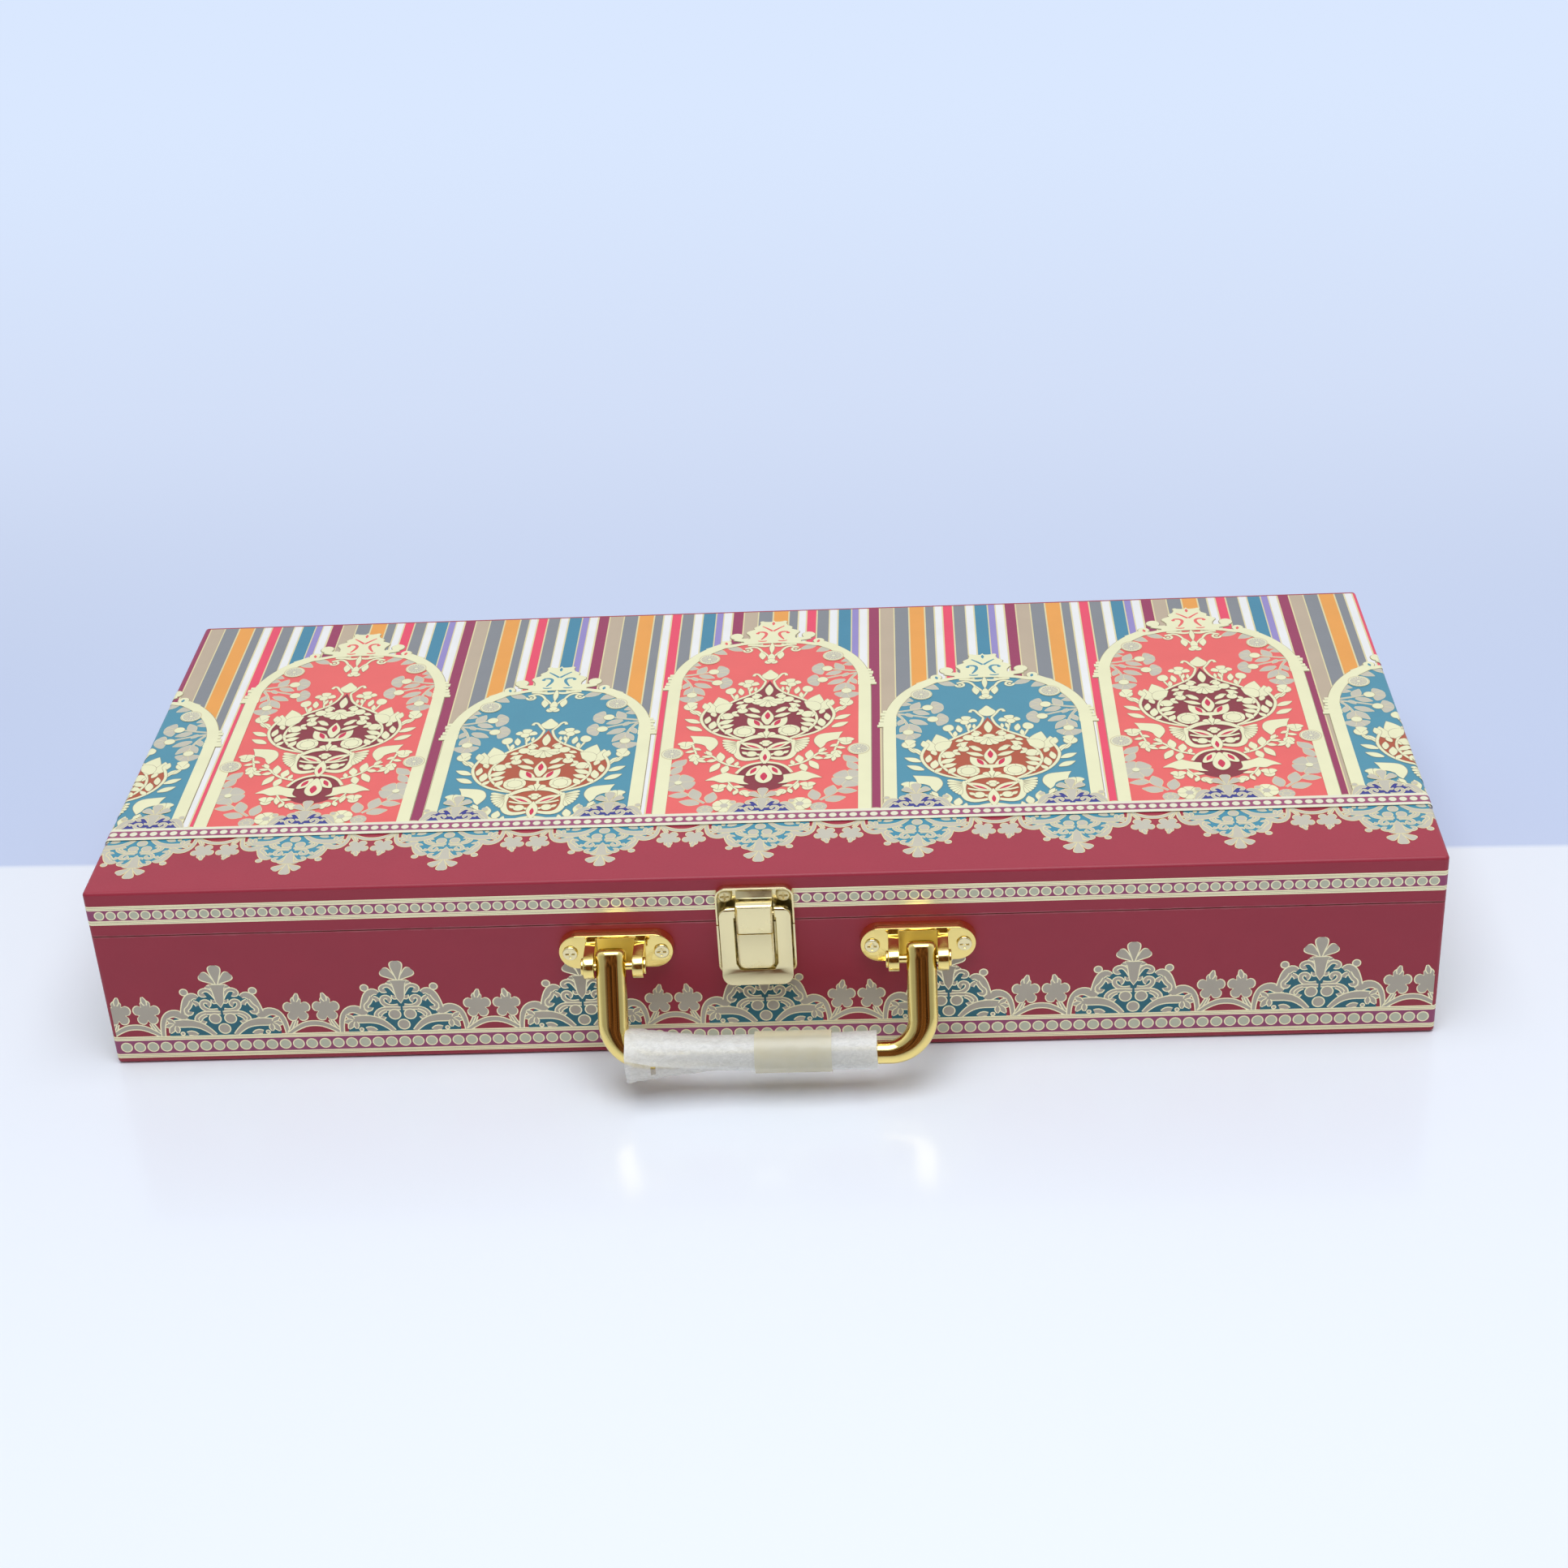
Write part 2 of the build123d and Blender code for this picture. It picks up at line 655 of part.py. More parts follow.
# Keeper plate on the lid, with a raised rim and the block that carries the frame
latch_pin_y = front_y - frame_back - frame_thick / 2
keeper_top = lid_low + keeper_height
block_top = lid_low + block_height
latch_pin_place = (latch_pin_y, latch_pin_z)
with BuildPart() as latch_keeper_plate:
    with BuildSketch(front_face(0)) as outline:
        with Locations((latch_x, lid_low + keeper_height / 2)):
            Rectangle(latch_width, keeper_height)
        fillet(outline.vertices().group_by(Axis.Y)[-1], latch_corner)
    extrude(amount=latch_rim_proud)
    with BuildSketch(front_face(latch_sheet)) as field:
        with Locations((latch_x, lid_low + (keeper_height - latch_rim) / 2)):
            Rectangle(latch_width - 2 * latch_rim, keeper_height - latch_rim)
        fillet(field.vertices().group_by(Axis.Y)[-1], latch_corner - latch_rim)
    extrude(amount=latch_rim_proud, mode=Mode.SUBTRACT)
    with BuildSketch(Plane.YZ.offset(latch_x)):
        Polygon(
            (front_y, lid_low),
            (front_y - block_proud, lid_low),
            (front_y - block_proud, block_top - block_edge),
            (front_y - block_proud + block_edge, block_top),
            (front_y - latch_rim_proud - latch_rim, block_top),
            (front_y - latch_rim_proud + latch_rim, block_top + block_slope),
            (front_y, block_top + block_slope),
            align=None,
        )
    extrude(amount=block_width / 2, both=True)
    uprights = latch_keeper_plate.edges().filter_by(Axis.Z).group_by(Axis.Y)[0]
    chamfer(uprights, block_edge)
    with BuildSketch(Plane.YZ.offset(latch_x)):
        with Locations(latch_pin_place):
            Circle(latch_pin_radius)
    extrude(amount=block_width, both=True, mode=Mode.SUBTRACT)
    cut_holes(front_face(latch_sheet), keeper_screw_places, small_hole, latch_sheet)
latch_keeper_plate.part.label = "latch_keeper_plate"
export_step(latch_keeper_plate.part, "parts/latch_keeper_plate.step")

latch_keeper_screws = cross_screws(
    front_face(latch_sheet),
    keeper_screw_places,
    latch_screw_head,
    latch_screw_head_height,
    latch_screw_round,
    small_shank,
    small_screw_length,
)
latch_keeper_screws.part.label = "latch_keeper_screws"
export_step(latch_keeper_screws.part, "parts/latch_keeper_screws.step")

# Base plate below the seam, with the block that the frame's bar closes under
with BuildPart() as latch_base_plate:
    with BuildSketch(front_face(0)) as outline:
        with Locations((latch_x, strike_low + strike_height / 2)):
            Rectangle(latch_width, strike_height)
        fillet(outline.vertices().group_by(Axis.Y)[0], latch_corner)
    extrude(amount=latch_rim_proud)
    with BuildSketch(front_face(latch_sheet)) as field:
        with Locations((latch_x, strike_low + (strike_height + latch_rim) / 2)):
            Rectangle(latch_width - 2 * latch_rim, strike_height - latch_rim)
        fillet(field.vertices().group_by(Axis.Y)[0], latch_corner - latch_rim)
    extrude(amount=latch_rim_proud, mode=Mode.SUBTRACT)
    with BuildSketch(front_face(0)) as hook:
        with Locations((latch_x, base_height - hook_height / 2)):
            Rectangle(block_width, hook_height)
        fillet(hook.vertices().group_by(Axis.Y)[0], hook_corner)
    extrude(amount=block_proud)
    uprights = latch_base_plate.edges().filter_by(Axis.Z).group_by(Axis.Y)[0]
    chamfer(uprights, block_edge)
    cut_holes(front_face(latch_sheet), strike_screw_places, small_hole, latch_sheet)
latch_base_plate.part.label = "latch_base_plate"
export_step(latch_base_plate.part, "parts/latch_base_plate.step")

latch_base_screws = cross_screws(
    front_face(latch_sheet),
    strike_screw_places,
    latch_screw_head - screw_fit,
    latch_screw_head_height,
    latch_screw_round,
    small_shank,
    small_screw_length,
)
latch_base_screws.part.label = "latch_base_screws"
export_step(latch_base_screws.part, "parts/latch_base_screws.step")

# Latch frame: two arms joined by a bar whose lower edge turns out as a finger lip
stub_width = block_width / 2 + stub_clear
slot_side = slot_width / 2
frame_over = 2 * (frame_top - frame_bottom)
with BuildPart() as latch_frame:
    with BuildSketch(front_face(0)) as outline:
        with Locations((latch_x, (frame_top + frame_bottom) / 2)):
            Rectangle(frame_width, frame_top - frame_bottom)
        fillet(outline.vertices(), frame_corner)
        with Locations((latch_x, 0)):
            Polygon(
                (-stub_width, frame_top),
                (-stub_width, frame_top - stub_height),
                (-slot_side, frame_top - stub_height),
                (-slot_side, slot_bottom + slot_chamfer),
                (-slot_side + slot_chamfer / 2, slot_bottom),
                (slot_side - slot_chamfer / 2, slot_bottom),
                (slot_side, slot_bottom + slot_chamfer),
                (slot_side, frame_top - stub_height),
                (stub_width, frame_top - stub_height),
                (stub_width, frame_top),
                align=None,
                mode=Mode.SUBTRACT,
            )
    extrude(amount=frame_over)
    with BuildSketch(Plane.YZ.offset(latch_x)) as profile:
        Polygon(
            (front_y - frame_back, frame_top),
            (front_y - frame_back, lip_bend),
            (front_y - frame_back - lip_out, frame_bottom),
            (front_y - frame_back - lip_out - frame_thick, frame_bottom),
            (front_y - frame_back - frame_thick, lip_bend),
            (front_y - frame_back - frame_thick, frame_top),
            align=None,
        )
        fillet(profile.vertices().group_by(Axis.Y)[-1], frame_thick * frame_edge_share)
    extrude(amount=frame_width, both=True, mode=Mode.INTERSECT)
    with BuildSketch(Plane.YZ.offset(latch_x)):
        with Locations(latch_pin_place):
            Circle(latch_pin_radius + running_fit)
    extrude(amount=latch_pin_length / 2 + running_fit, both=True, mode=Mode.SUBTRACT)
latch_frame.part.label = "latch_frame"
export_step(latch_frame.part, "parts/latch_frame.step")

with BuildPart() as latch_frame_pin:
    with BuildSketch(Plane.YZ.offset(latch_x)):
        with Locations(latch_pin_place):
            Circle(latch_pin_radius)
    extrude(amount=latch_pin_length / 2, both=True)
latch_frame_pin.part.label = "latch_frame_pin"
export_step(latch_frame_pin.part, "parts/latch_frame_pin.step")

# Rear butt hinges: interleaved knuckles on one axis level with the seam
hinge_y = back_y + hinge_axis_proud
knuckle = (hinge_length - (knuckle_count - 1) * knuckle_gap) / knuckle_count
leaf_kinds = (("base", -1, 0, 0.0), ("lid", 1, 1, running_fit))
for side_name, centre in zip(("left", "right"), hinge_centres):
    for leaf_name, up, first, pin_fit in leaf_kinds:
        leaf_edge = seam_z + up * leaf_clear
        with BuildPart() as leaf:
            with BuildSketch(back_face(0)):
                with Locations((-centre, leaf_edge + up * leaf_height / 2)):
                    Rectangle(hinge_length, leaf_height)
            extrude(amount=leaf_thick)
            for place in range(first, knuckle_count, 2):
                start = centre - hinge_length / 2 + place * (knuckle + knuckle_gap)
                with BuildSketch(Plane.YZ.offset(start)):
                    with Locations((hinge_y, seam_z)):
                        Circle(barrel_radius)
                    with Locations((back_y + leaf_thick / 2, seam_z)):
                        web = leaf_clear + leaf_thick
                        with Locations((0, up * (web + seam_gap / 2) / 2)):
                            Rectangle(leaf_thick, web - seam_gap / 2)
                extrude(amount=knuckle)
            with BuildSketch(Plane.YZ.offset(centre)):
                with Locations((hinge_y, seam_z)):
                    Circle(hinge_pin_radius + pin_fit)
            extrude(amount=hinge_length, both=True, mode=Mode.SUBTRACT)
            leaf_places = [
                (-centre + step * hinge_screw_pitch, seam_z + up * leaf_screw_drop)
                for step in (-1, 0, 1)
            ]
            cut_holes(back_face(leaf_thick), leaf_places, small_hole, leaf_thick)
        leaf.part.label = f"{side_name}_hinge_{leaf_name}_leaf"
        export_step(leaf.part, f"parts/{side_name}_hinge_{leaf_name}_leaf.step")

with BuildPart() as hinge_pins:
    for centre in hinge_centres:
        with BuildSketch(Plane.YZ.offset(centre - hinge_length / 2)):
            with Locations((hinge_y, seam_z)):
                Circle(hinge_pin_radius)
        extrude(amount=hinge_length)
hinge_pins.part.label = "hinge_pins"
export_step(hinge_pins.part, "parts/hinge_pins.step")

hinge_base_screws = cross_screws(
    back_face(leaf_thick),
    base_hinge_screw_places,
    hinge_screw_head,
    hinge_screw_head_height,
    hinge_screw_head_height / 2,
    small_shank,
    small_screw_length,
)
hinge_base_screws.part.label = "hinge_base_screws"
export_step(hinge_base_screws.part, "parts/hinge_base_screws.step")

hinge_lid_screws = cross_screws(
    back_face(leaf_thick),
    lid_hinge_screw_places,
    hinge_screw_head,
    hinge_screw_head_height,
    hinge_screw_head_height / 2,
    small_shank,
    small_screw_length,
)
hinge_lid_screws.part.label = "hinge_lid_screws"
export_step(hinge_lid_screws.part, "parts/hinge_lid_screws.step")
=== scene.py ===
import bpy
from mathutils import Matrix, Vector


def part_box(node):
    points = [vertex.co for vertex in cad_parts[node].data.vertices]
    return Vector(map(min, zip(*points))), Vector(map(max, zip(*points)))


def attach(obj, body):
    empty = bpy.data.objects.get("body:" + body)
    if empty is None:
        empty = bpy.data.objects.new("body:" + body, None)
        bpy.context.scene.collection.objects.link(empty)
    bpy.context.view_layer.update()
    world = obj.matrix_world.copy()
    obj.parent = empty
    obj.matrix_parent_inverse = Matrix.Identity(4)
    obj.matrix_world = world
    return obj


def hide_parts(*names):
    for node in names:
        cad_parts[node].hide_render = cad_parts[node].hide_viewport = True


bl_info = {
    "name": "Jar gift box",
    "version": (1, 0, 0),
    "blender": (4, 5, 0),
    "location": "3D View > Sidebar > Jar box",
    "description": "Dresses the jar gift box in printed paper, gilt fittings and its packing film",
    "category": "Object",
}

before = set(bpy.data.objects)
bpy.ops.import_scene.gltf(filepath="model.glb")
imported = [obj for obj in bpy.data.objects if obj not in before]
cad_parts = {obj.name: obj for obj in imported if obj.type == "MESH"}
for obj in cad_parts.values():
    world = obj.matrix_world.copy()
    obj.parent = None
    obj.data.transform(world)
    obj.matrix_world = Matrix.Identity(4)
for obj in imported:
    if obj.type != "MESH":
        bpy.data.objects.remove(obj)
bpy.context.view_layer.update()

import math

import bmesh
import bpy
from bpy.props import FloatProperty, FloatVectorProperty, PointerProperty
from mathutils import Matrix, Vector, noise

MM = 0.001


def linear(code):
    """Linear colour from an sRGB hex value."""
    parts = [int(code[i:i + 2], 16) / 255 for i in (0, 2, 4)]
    return [c / 12.92 if c <= 0.04045 else ((c + 0.055) / 1.055) ** 2.4 for c in parts]


def colour(name, description, code):
    """Property that holds a colour."""
    return FloatVectorProperty(
        name=name, description=description, subtype="COLOR", min=0, max=1, default=linear(code)
    )


def length(name, description, millimetres):
    """Property that holds a length."""
    return FloatProperty(
        name=name, description=description, unit="LENGTH", default=millimetres * MM,
    )


class PrintColours(bpy.types.PropertyGroup):
    crimson: colour("Crimson", "Paper of the lid and base", "A2253A")
    coral: colour("Coral", "Ground of the tall arches", "EE6560")
    teal: colour("Teal", "Ground of the short arches", "4A8FA4")
    deep_teal: colour("Deep teal", "Ground inside the lace", "3C8CA4")
    cream: colour("Cream", "Arches and flowers", "F1EDC0")
    lace: colour("Lace", "Lace and grey flowers", "C9C2AE")
    gilt: colour("Gilt", "Thin outlines and bands", "E9DBA6")
    shade: colour("Outline shade", "Fine outline of the cream flowers", "A99A78")
    plum: colour("Plum", "Ground of the bead bands", "A0476F")
    claret: colour("Claret", "Ground of the tall arches' flowers", "86202F")
    rust: colour("Rust", "Ground of the short arches' flowers", "B3512F")
    ruby: colour("Ruby", "Petals like set stones", "D1264C")
    navy: colour("Navy", "Ground of the crown lace", "2B2F86")
    bead: colour("Bead", "Beads and lines of the lid's band", "EDE9CC")
    pale_gilt: colour("Pale gilt", "Foil outlines on the walls", "FBF1C6")
    wall_teal: colour("Wall teal", "Ground inside the lace of the walls", "1F6A78")
    # Same ink as the lid's lace, set darker: painted shade for the walls.
    wall_lace: colour("Wall lace", "Lace of the walls", "BDB3A0")
    bead_grey: colour("Edge bead", "Round beads of the edge bands", "CBCBB0")


class StripeColours(bpy.types.PropertyGroup):
    taupe: colour("Taupe", "Stripe", "C2AE94")
    grey: colour("Grey", "Stripe", "85878A")
    orange: colour("Orange", "Stripe", "F0A348")
    white: colour("White", "Stripe", "F2F0EC")
    pink: colour("Pink red", "Stripe", "EE4765")
    sea: colour("Sea green", "Stripe", "3F86A0")
    lilac: colour("Lilac", "Stripe", "978AC4")
    maroon: colour("Maroon", "Stripe", "982A56")


class PrintSizes(bpy.types.PropertyGroup):
    arch_pitch: length("Arch pitch", "Distance between neighbouring arches", 80.6)
    arch_drop: length("Arch drop", "How much lower the short arches stand", 33.1)
    stripe_pitch: length("Stripe pitch", "Width of one set of stripes", 53.5)
    top_lace_pitch: length("Lid lace pitch", "Distance between the lid's lace points", 53.75)
    base_lace_pitch: length("Base lace pitch", "Distance between the base's lace points", 62.8)
    ink_step: length("Ink step", "Height of each ink over the one below", 0.016)


class MetalColours(bpy.types.PropertyGroup):
    bright_gilt: colour("Bright gilt", "Polished plating of the bar and brackets", "F7DF8C")
    satin_gilt: colour("Satin gilt", "Softer plating of the latch", "F0E2B0")
    cap_gilt: colour("Cap gilt", "Lacquered tinplate of the jar caps", "D9B866")
    zinc: colour("Zinc", "Plating of the nuts", "B9BEC4")


class WrapSizes(bpy.types.PropertyGroup):
    film_thick: length("Film", "Thickness of the foam film", 0.3)
    film_turns: FloatProperty(name="Turns", description="Turns of the film", default=1.62)
    crinkle: length("Crinkle", "Height of the film's creases", 0.16)


class StageLight(bpy.types.PropertyGroup):
    table: colour("Table", "Top of the table", "F5F9FF")
    backdrop: colour("Backdrop", "Paper behind the table", "CFDAF3")
    soft_box: FloatProperty(
        name="Soft box", description="Watts of the overhead light", default=20.5,
    )
    room: FloatProperty(name="Room", description="Level of the room's light", default=0.5)


def node(tree, kind, settings=None, links=None):
    """Adds a shader node with its settings and the links that come into it."""
    made = tree.nodes.new(kind)
    for key, value in (settings or {}).items():
        if isinstance(key, int) or key in made.inputs:
            made.inputs[key].default_value = value
        else:
            setattr(made, key, value)
    for key, source in (links or {}).items():
        tree.links.new(source, made.inputs[key])
    return made


def blank(name):
    """New material with an empty node tree."""
    material = bpy.data.materials.new(name)
    material.use_nodes = True
    material.node_tree.nodes.clear()
    return material, material.node_tree


def shade_of(tone, factor):
    """A colour made darker or paler by a factor, with an alpha."""
    return [min(1, c * factor) for c in tone] + [1]


def printed_ink(name, tone, roughness=0.46, metal=0.0):
    """Offset ink on art paper under a matt film: an even colour with a faint mottle,
    a low sheen, and fibres 0.3 mm apart, drawn at 0.8 mm so that they show."""
    material, tree = blank(name)
    place = node(tree, "ShaderNodeTexCoord").outputs["Object"]
    mottle = node(
        tree, "ShaderNodeTexNoise", {"Scale": 1 / (14 * MM), "Detail": 5}, {"Vector": place},
    )
    fibre = node(
        tree, "ShaderNodeTexNoise", {"Scale": 1 / (0.8 * MM), "Detail": 3}, {"Vector": place},
    )
    tint = node(tree, "ShaderNodeMix", {"data_type": "RGBA"}, {"Factor": mottle.outputs["Fac"]})
    tint.inputs[6].default_value = shade_of(tone, 0.93)
    tint.inputs[7].default_value = shade_of(tone, 1.06)
    dull = node(
        tree, "ShaderNodeMapRange",
        {"To Min": roughness - 0.06, "To Max": roughness + 0.08}, {"Value": fibre.outputs["Fac"]},
    )
    grain = node(
        tree, "ShaderNodeBump", {"Strength": 0.25, "Distance": 0.03 * MM},
        {"Height": fibre.outputs["Fac"]}
    )
    paper = node(
        tree, "ShaderNodeBsdfPrincipled", {"Metallic": metal, "IOR": 1.5},
        {"Base Color": tint.outputs[2], "Roughness": dull.outputs[0], "Normal": grain.outputs[0]},
    )
    node(tree, "ShaderNodeOutputMaterial", None, {"Surface": paper.outputs[0]})
    return material


def covering_paper(name, tone, low, high):
    """Printed art paper glued over fibreboard. Its colour is worn through to pale fibre
    along the folds and cut edges, where a hand or the next box rubs it."""
    material = printed_ink(name, tone)
    tree = material.node_tree
    paper = next(n for n in tree.nodes if n.type == "BSDF_PRINCIPLED")
    tint = paper.inputs["Base Color"].links[0].from_socket
    place = node(tree, "ShaderNodeTexCoord").outputs["Object"]
    axes = node(tree, "ShaderNodeSeparateXYZ", None, {0: place})
    middle = (low + high) / 2
    reach = (high - low) / 2
    near = []
    for axis in range(3):
        centred = node(
            tree, "ShaderNodeMath", {"operation": "SUBTRACT", 1: middle[axis]},
            {0: axes.outputs[axis]}
        )
        out = node(tree, "ShaderNodeMath", {"operation": "ABSOLUTE"}, {0: centred.outputs[0]})
        near.append(
            node(
                tree, "ShaderNodeMapRange",
                {"From Min": reach[axis] - 0.9 * MM, "From Max": reach[axis]},
                {"Value": out.outputs[0]},
            ).outputs[0]
        )
    pair = node(tree, "ShaderNodeMath", {"operation": "ADD"}, {0: near[0], 1: near[1]})
    three = node(tree, "ShaderNodeMath", {"operation": "ADD"}, {0: pair.outputs[0], 1: near[2]})
    chips = node(
        tree, "ShaderNodeTexNoise", {"Scale": 1 / (4 * MM), "Detail": 6}, {"Vector": place},
    )
    rubbed = node(
        tree, "ShaderNodeMath", {"operation": "ADD"}, {0: three.outputs[0], 1: chips.outputs[0]},
    )
    worn = node(
        tree, "ShaderNodeMapRange", {"From Min": 2.02, "From Max": 2.3, "To Max": 0.3},
        {"Value": rubbed.outputs[0]},
    )
    mixed = node(
        tree, "ShaderNodeMix", {"data_type": "RGBA"}, {"Factor": worn.outputs[0], 6: tint}
    )
    mixed.inputs[7].default_value = linear("C98A8C") + [1]
    tree.links.new(mixed.outputs[2], paper.inputs["Base Color"])
    return material


def gilt_plating(name, tone, roughness, scratch):
    """Thin brass-coloured plating on a zinc casting or on pressed steel: a mirror with a soft
    haze, fine scratches along the length, and small pits. Roughness sets the haze, and
    scratch sets how deep the lines are."""
    material, tree = blank(name)
    place = node(tree, "ShaderNodeTexCoord").outputs["Object"]
    drawn = node(tree, "ShaderNodeMapping", {"Scale": (0.12, 1, 1)}, {"Vector": place})
    lines = node(
        tree, "ShaderNodeTexNoise", {"Scale": 1 / (0.5 * MM), "Detail": 4, "Roughness": 0.7},
        {"Vector": drawn.outputs[0]},
    )
    haze = node(tree, "ShaderNodeTexNoise", {"Scale": 1 / (5 * MM), "Detail": 5}, {"Vector": place})
    pits = node(tree, "ShaderNodeTexVoronoi", {"Scale": 1 / (2.2 * MM)}, {"Vector": place})
    pit = node(
        tree, "ShaderNodeMapRange", {"From Max": 0.09, "To Min": -1, "To Max": 0},
        {"Value": pits.outputs[0]},
    )
    height = node(
        tree, "ShaderNodeMath", {"operation": "MULTIPLY_ADD", 1: scratch},
        {0: lines.outputs[0], 2: pit.outputs[0]}
    )
    relief = node(
        tree, "ShaderNodeBump", {"Strength": 0.35, "Distance": 0.02 * MM},
        {"Height": height.outputs[0]}
    )
    dull = node(
        tree, "ShaderNodeMapRange",
        {"From Min": 0.3, "From Max": 0.75, "To Min": roughness * 0.7, "To Max": roughness * 1.6},
        {"Value": haze.outputs[0]},
    )
    tint = node(tree, "ShaderNodeMix", {"data_type": "RGBA"}, {"Factor": haze.outputs[0]})
    tint.inputs[6].default_value = shade_of(tone, 0.92)
    tint.inputs[7].default_value = shade_of(tone, 1.05)
    metal = node(
        tree, "ShaderNodeBsdfPrincipled", {"Metallic": 1.0},
        {"Base Color": tint.outputs[2], "Roughness": dull.outputs[0], "Normal": relief.outputs[0]},
    )
    node(tree, "ShaderNodeOutputMaterial", None, {"Surface": metal.outputs[0]})
    return material


def pressed_board(name, tone):
    """Pressed fibre, as in fibreboard, kraft and lining paper: matt, with darker flecks
    1.2 mm apart."""
    material, tree = blank(name)
    place = node(tree, "ShaderNodeTexCoord").outputs["Object"]
    fleck = node(
        tree, "ShaderNodeTexNoise", {"Scale": 1 / (1.2 * MM), "Detail": 6}, {"Vector": place},
    )
    tint = node(tree, "ShaderNodeMix", {"data_type": "RGBA"}, {"Factor": fleck.outputs[0]})
    tint.inputs[6].default_value = shade_of(tone, 0.72)
    tint.inputs[7].default_value = shade_of(tone, 1.2)
    grain = node(
        tree, "ShaderNodeBump", {"Strength": 0.5, "Distance": 0.05 * MM},
        {"Height": fleck.outputs[0]},
    )
    board = node(
        tree, "ShaderNodeBsdfPrincipled", {"Roughness": 0.82},
        {"Base Color": tint.outputs[2], "Normal": grain.outputs[0]},
    )
    node(tree, "ShaderNodeOutputMaterial", None, {"Surface": board.outputs[0]})
    return material


def soda_glass(name):
    """Moulded soda-lime glass, clear with a faint waviness from the mould."""
    material, tree = blank(name)
    place = node(tree, "ShaderNodeTexCoord").outputs["Object"]
    wave = node(
        tree, "ShaderNodeTexNoise", {"Scale": 1 / (12 * MM), "Detail": 2}, {"Vector": place},
    )
    relief = node(
        tree, "ShaderNodeBump", {"Strength": 0.3, "Distance": 0.1 * MM},
        {"Height": wave.outputs[0]},
    )
    glass = node(
        tree, "ShaderNodeBsdfPrincipled",
        {
            "Base Color": linear("F3FAF8") + [1], "Roughness": 0.02, "IOR": 1.52,
            "Transmission Weight": 1.0,
        },
        {"Normal": relief.outputs[0]},
    )
    node(tree, "ShaderNodeOutputMaterial", None, {"Surface": glass.outputs[0]})
    return material


def foam_film(name):
    """Expanded polyethylene film, 0.3 mm thick: milky, with the gilt showing through faintly
    and creases along the grip that sparkle. Cells of 0.4 mm are drawn at 0.6 mm so that
    they show."""
    material, tree = blank(name)
    place = node(tree, "ShaderNodeTexCoord").outputs["Object"]
    along = node(tree, "ShaderNodeMapping", {"Scale": (0.55, 1, 1)}, {"Vector": place})
    cells = node(tree, "ShaderNodeTexVoronoi", {"Scale": 1 / (0.6 * MM)}, {"Vector": place})
    creases = node(
        tree, "ShaderNodeTexNoise",
        {"Scale": 1 / (1.3 * MM), "Detail": 5, "Roughness": 0.6, "Distortion": 1.2},
        {"Vector": along.outputs[0]},
    )
    cloud = node(
        tree, "ShaderNodeTexNoise", {"Scale": 1 / (7 * MM), "Detail": 3},
        {"Vector": along.outputs[0]},
    )
    height = node(
        tree, "ShaderNodeMath", {"operation": "MULTIPLY_ADD", 1: 2.0},
        {0: creases.outputs[0], 2: cells.outputs[0]},
    )
    relief = node(
        tree, "ShaderNodeBump", {"Strength": 0.45, "Distance": 0.06 * MM},
        {"Height": height.outputs[0]},
    )
    fine = node(
        tree, "ShaderNodeMapRange",
        {"From Min": 0.36, "From Max": 0.64, "To Min": 0.27, "To Max": 0.38},
        {"Value": creases.outputs[0]},
    )
    milk = node(
        tree, "ShaderNodeMath", {"operation": "MULTIPLY_ADD", 1: 0.14},
        {0: cloud.outputs[0], 2: fine.outputs[0]}
    )
    film = node(
        tree, "ShaderNodeBsdfPrincipled",
        {
            "Base Color": linear("FFFEF8") + [1], "Roughness": 0.3, "Specular IOR Level": 0.9,
            "IOR": 1.5,
        },
        {"Normal": relief.outputs[0], "Alpha": milk.outputs[0]},
    )
    node(tree, "ShaderNodeOutputMaterial", None, {"Surface": film.outputs[0]})
    return material


def masking_tape(name):
    """Creped paper tape: cream, half see-through, with its crepe 0.6 mm apart."""
    material, tree = blank(name)
    place = node(tree, "ShaderNodeTexCoord").outputs["Object"]
    crepe_way = node(tree, "ShaderNodeMapping", {"Scale": (1, 0.25, 0.25)}, {"Vector": place})
    crepe = node(
        tree, "ShaderNodeTexNoise", {"Scale": 1 / (0.6 * MM), "Detail": 3},
        {"Vector": crepe_way.outputs[0]},
    )
    cloud = node(
        tree, "ShaderNodeTexNoise", {"Scale": 1 / (5 * MM), "Detail": 3}, {"Vector": place},
    )
    tint = node(tree, "ShaderNodeMix", {"data_type": "RGBA"}, {"Factor": cloud.outputs[0]})
    tint.inputs[6].default_value = linear("FAEFC6") + [1]
    tint.inputs[7].default_value = linear("FFF8DC") + [1]
    relief = node(
        tree, "ShaderNodeBump", {"Strength": 0.4, "Distance": 0.06 * MM},
        {"Height": crepe.outputs[0]},
    )
    tape = node(
        tree, "ShaderNodeBsdfPrincipled",
        {"Roughness": 0.36, "Alpha": 0.34, "Specular IOR Level": 0.9},
        {"Base Color": tint.outputs[2], "Normal": relief.outputs[0]},
    )
    node(tree, "ShaderNodeOutputMaterial", None, {"Surface": tape.outputs[0]})
    return material


def new_piece(name, shape, material, body, smooth=True, sharp=38):
    """Object from a bmesh in millimetres, riding on its body. Edges that turn by less than
    sharp degrees are shaded smooth."""
    bmesh.ops.scale(shape, vec=(MM, MM, MM), verts=shape.verts)
    shape.normal_update()
    for face in shape.faces:
        face.smooth = smooth
    limit = math.radians(sharp)
    for edge in shape.edges:
        edge.smooth = len(edge.link_faces) == 2 and edge.calc_face_angle(0) < limit
    mesh = bpy.data.meshes.new(name)
    shape.to_mesh(mesh)
    shape.free()
    mesh.materials.append(material)
    piece = bpy.data.objects.new(name, mesh)
    bpy.context.scene.collection.objects.link(piece)
    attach(piece, body)
    return piece


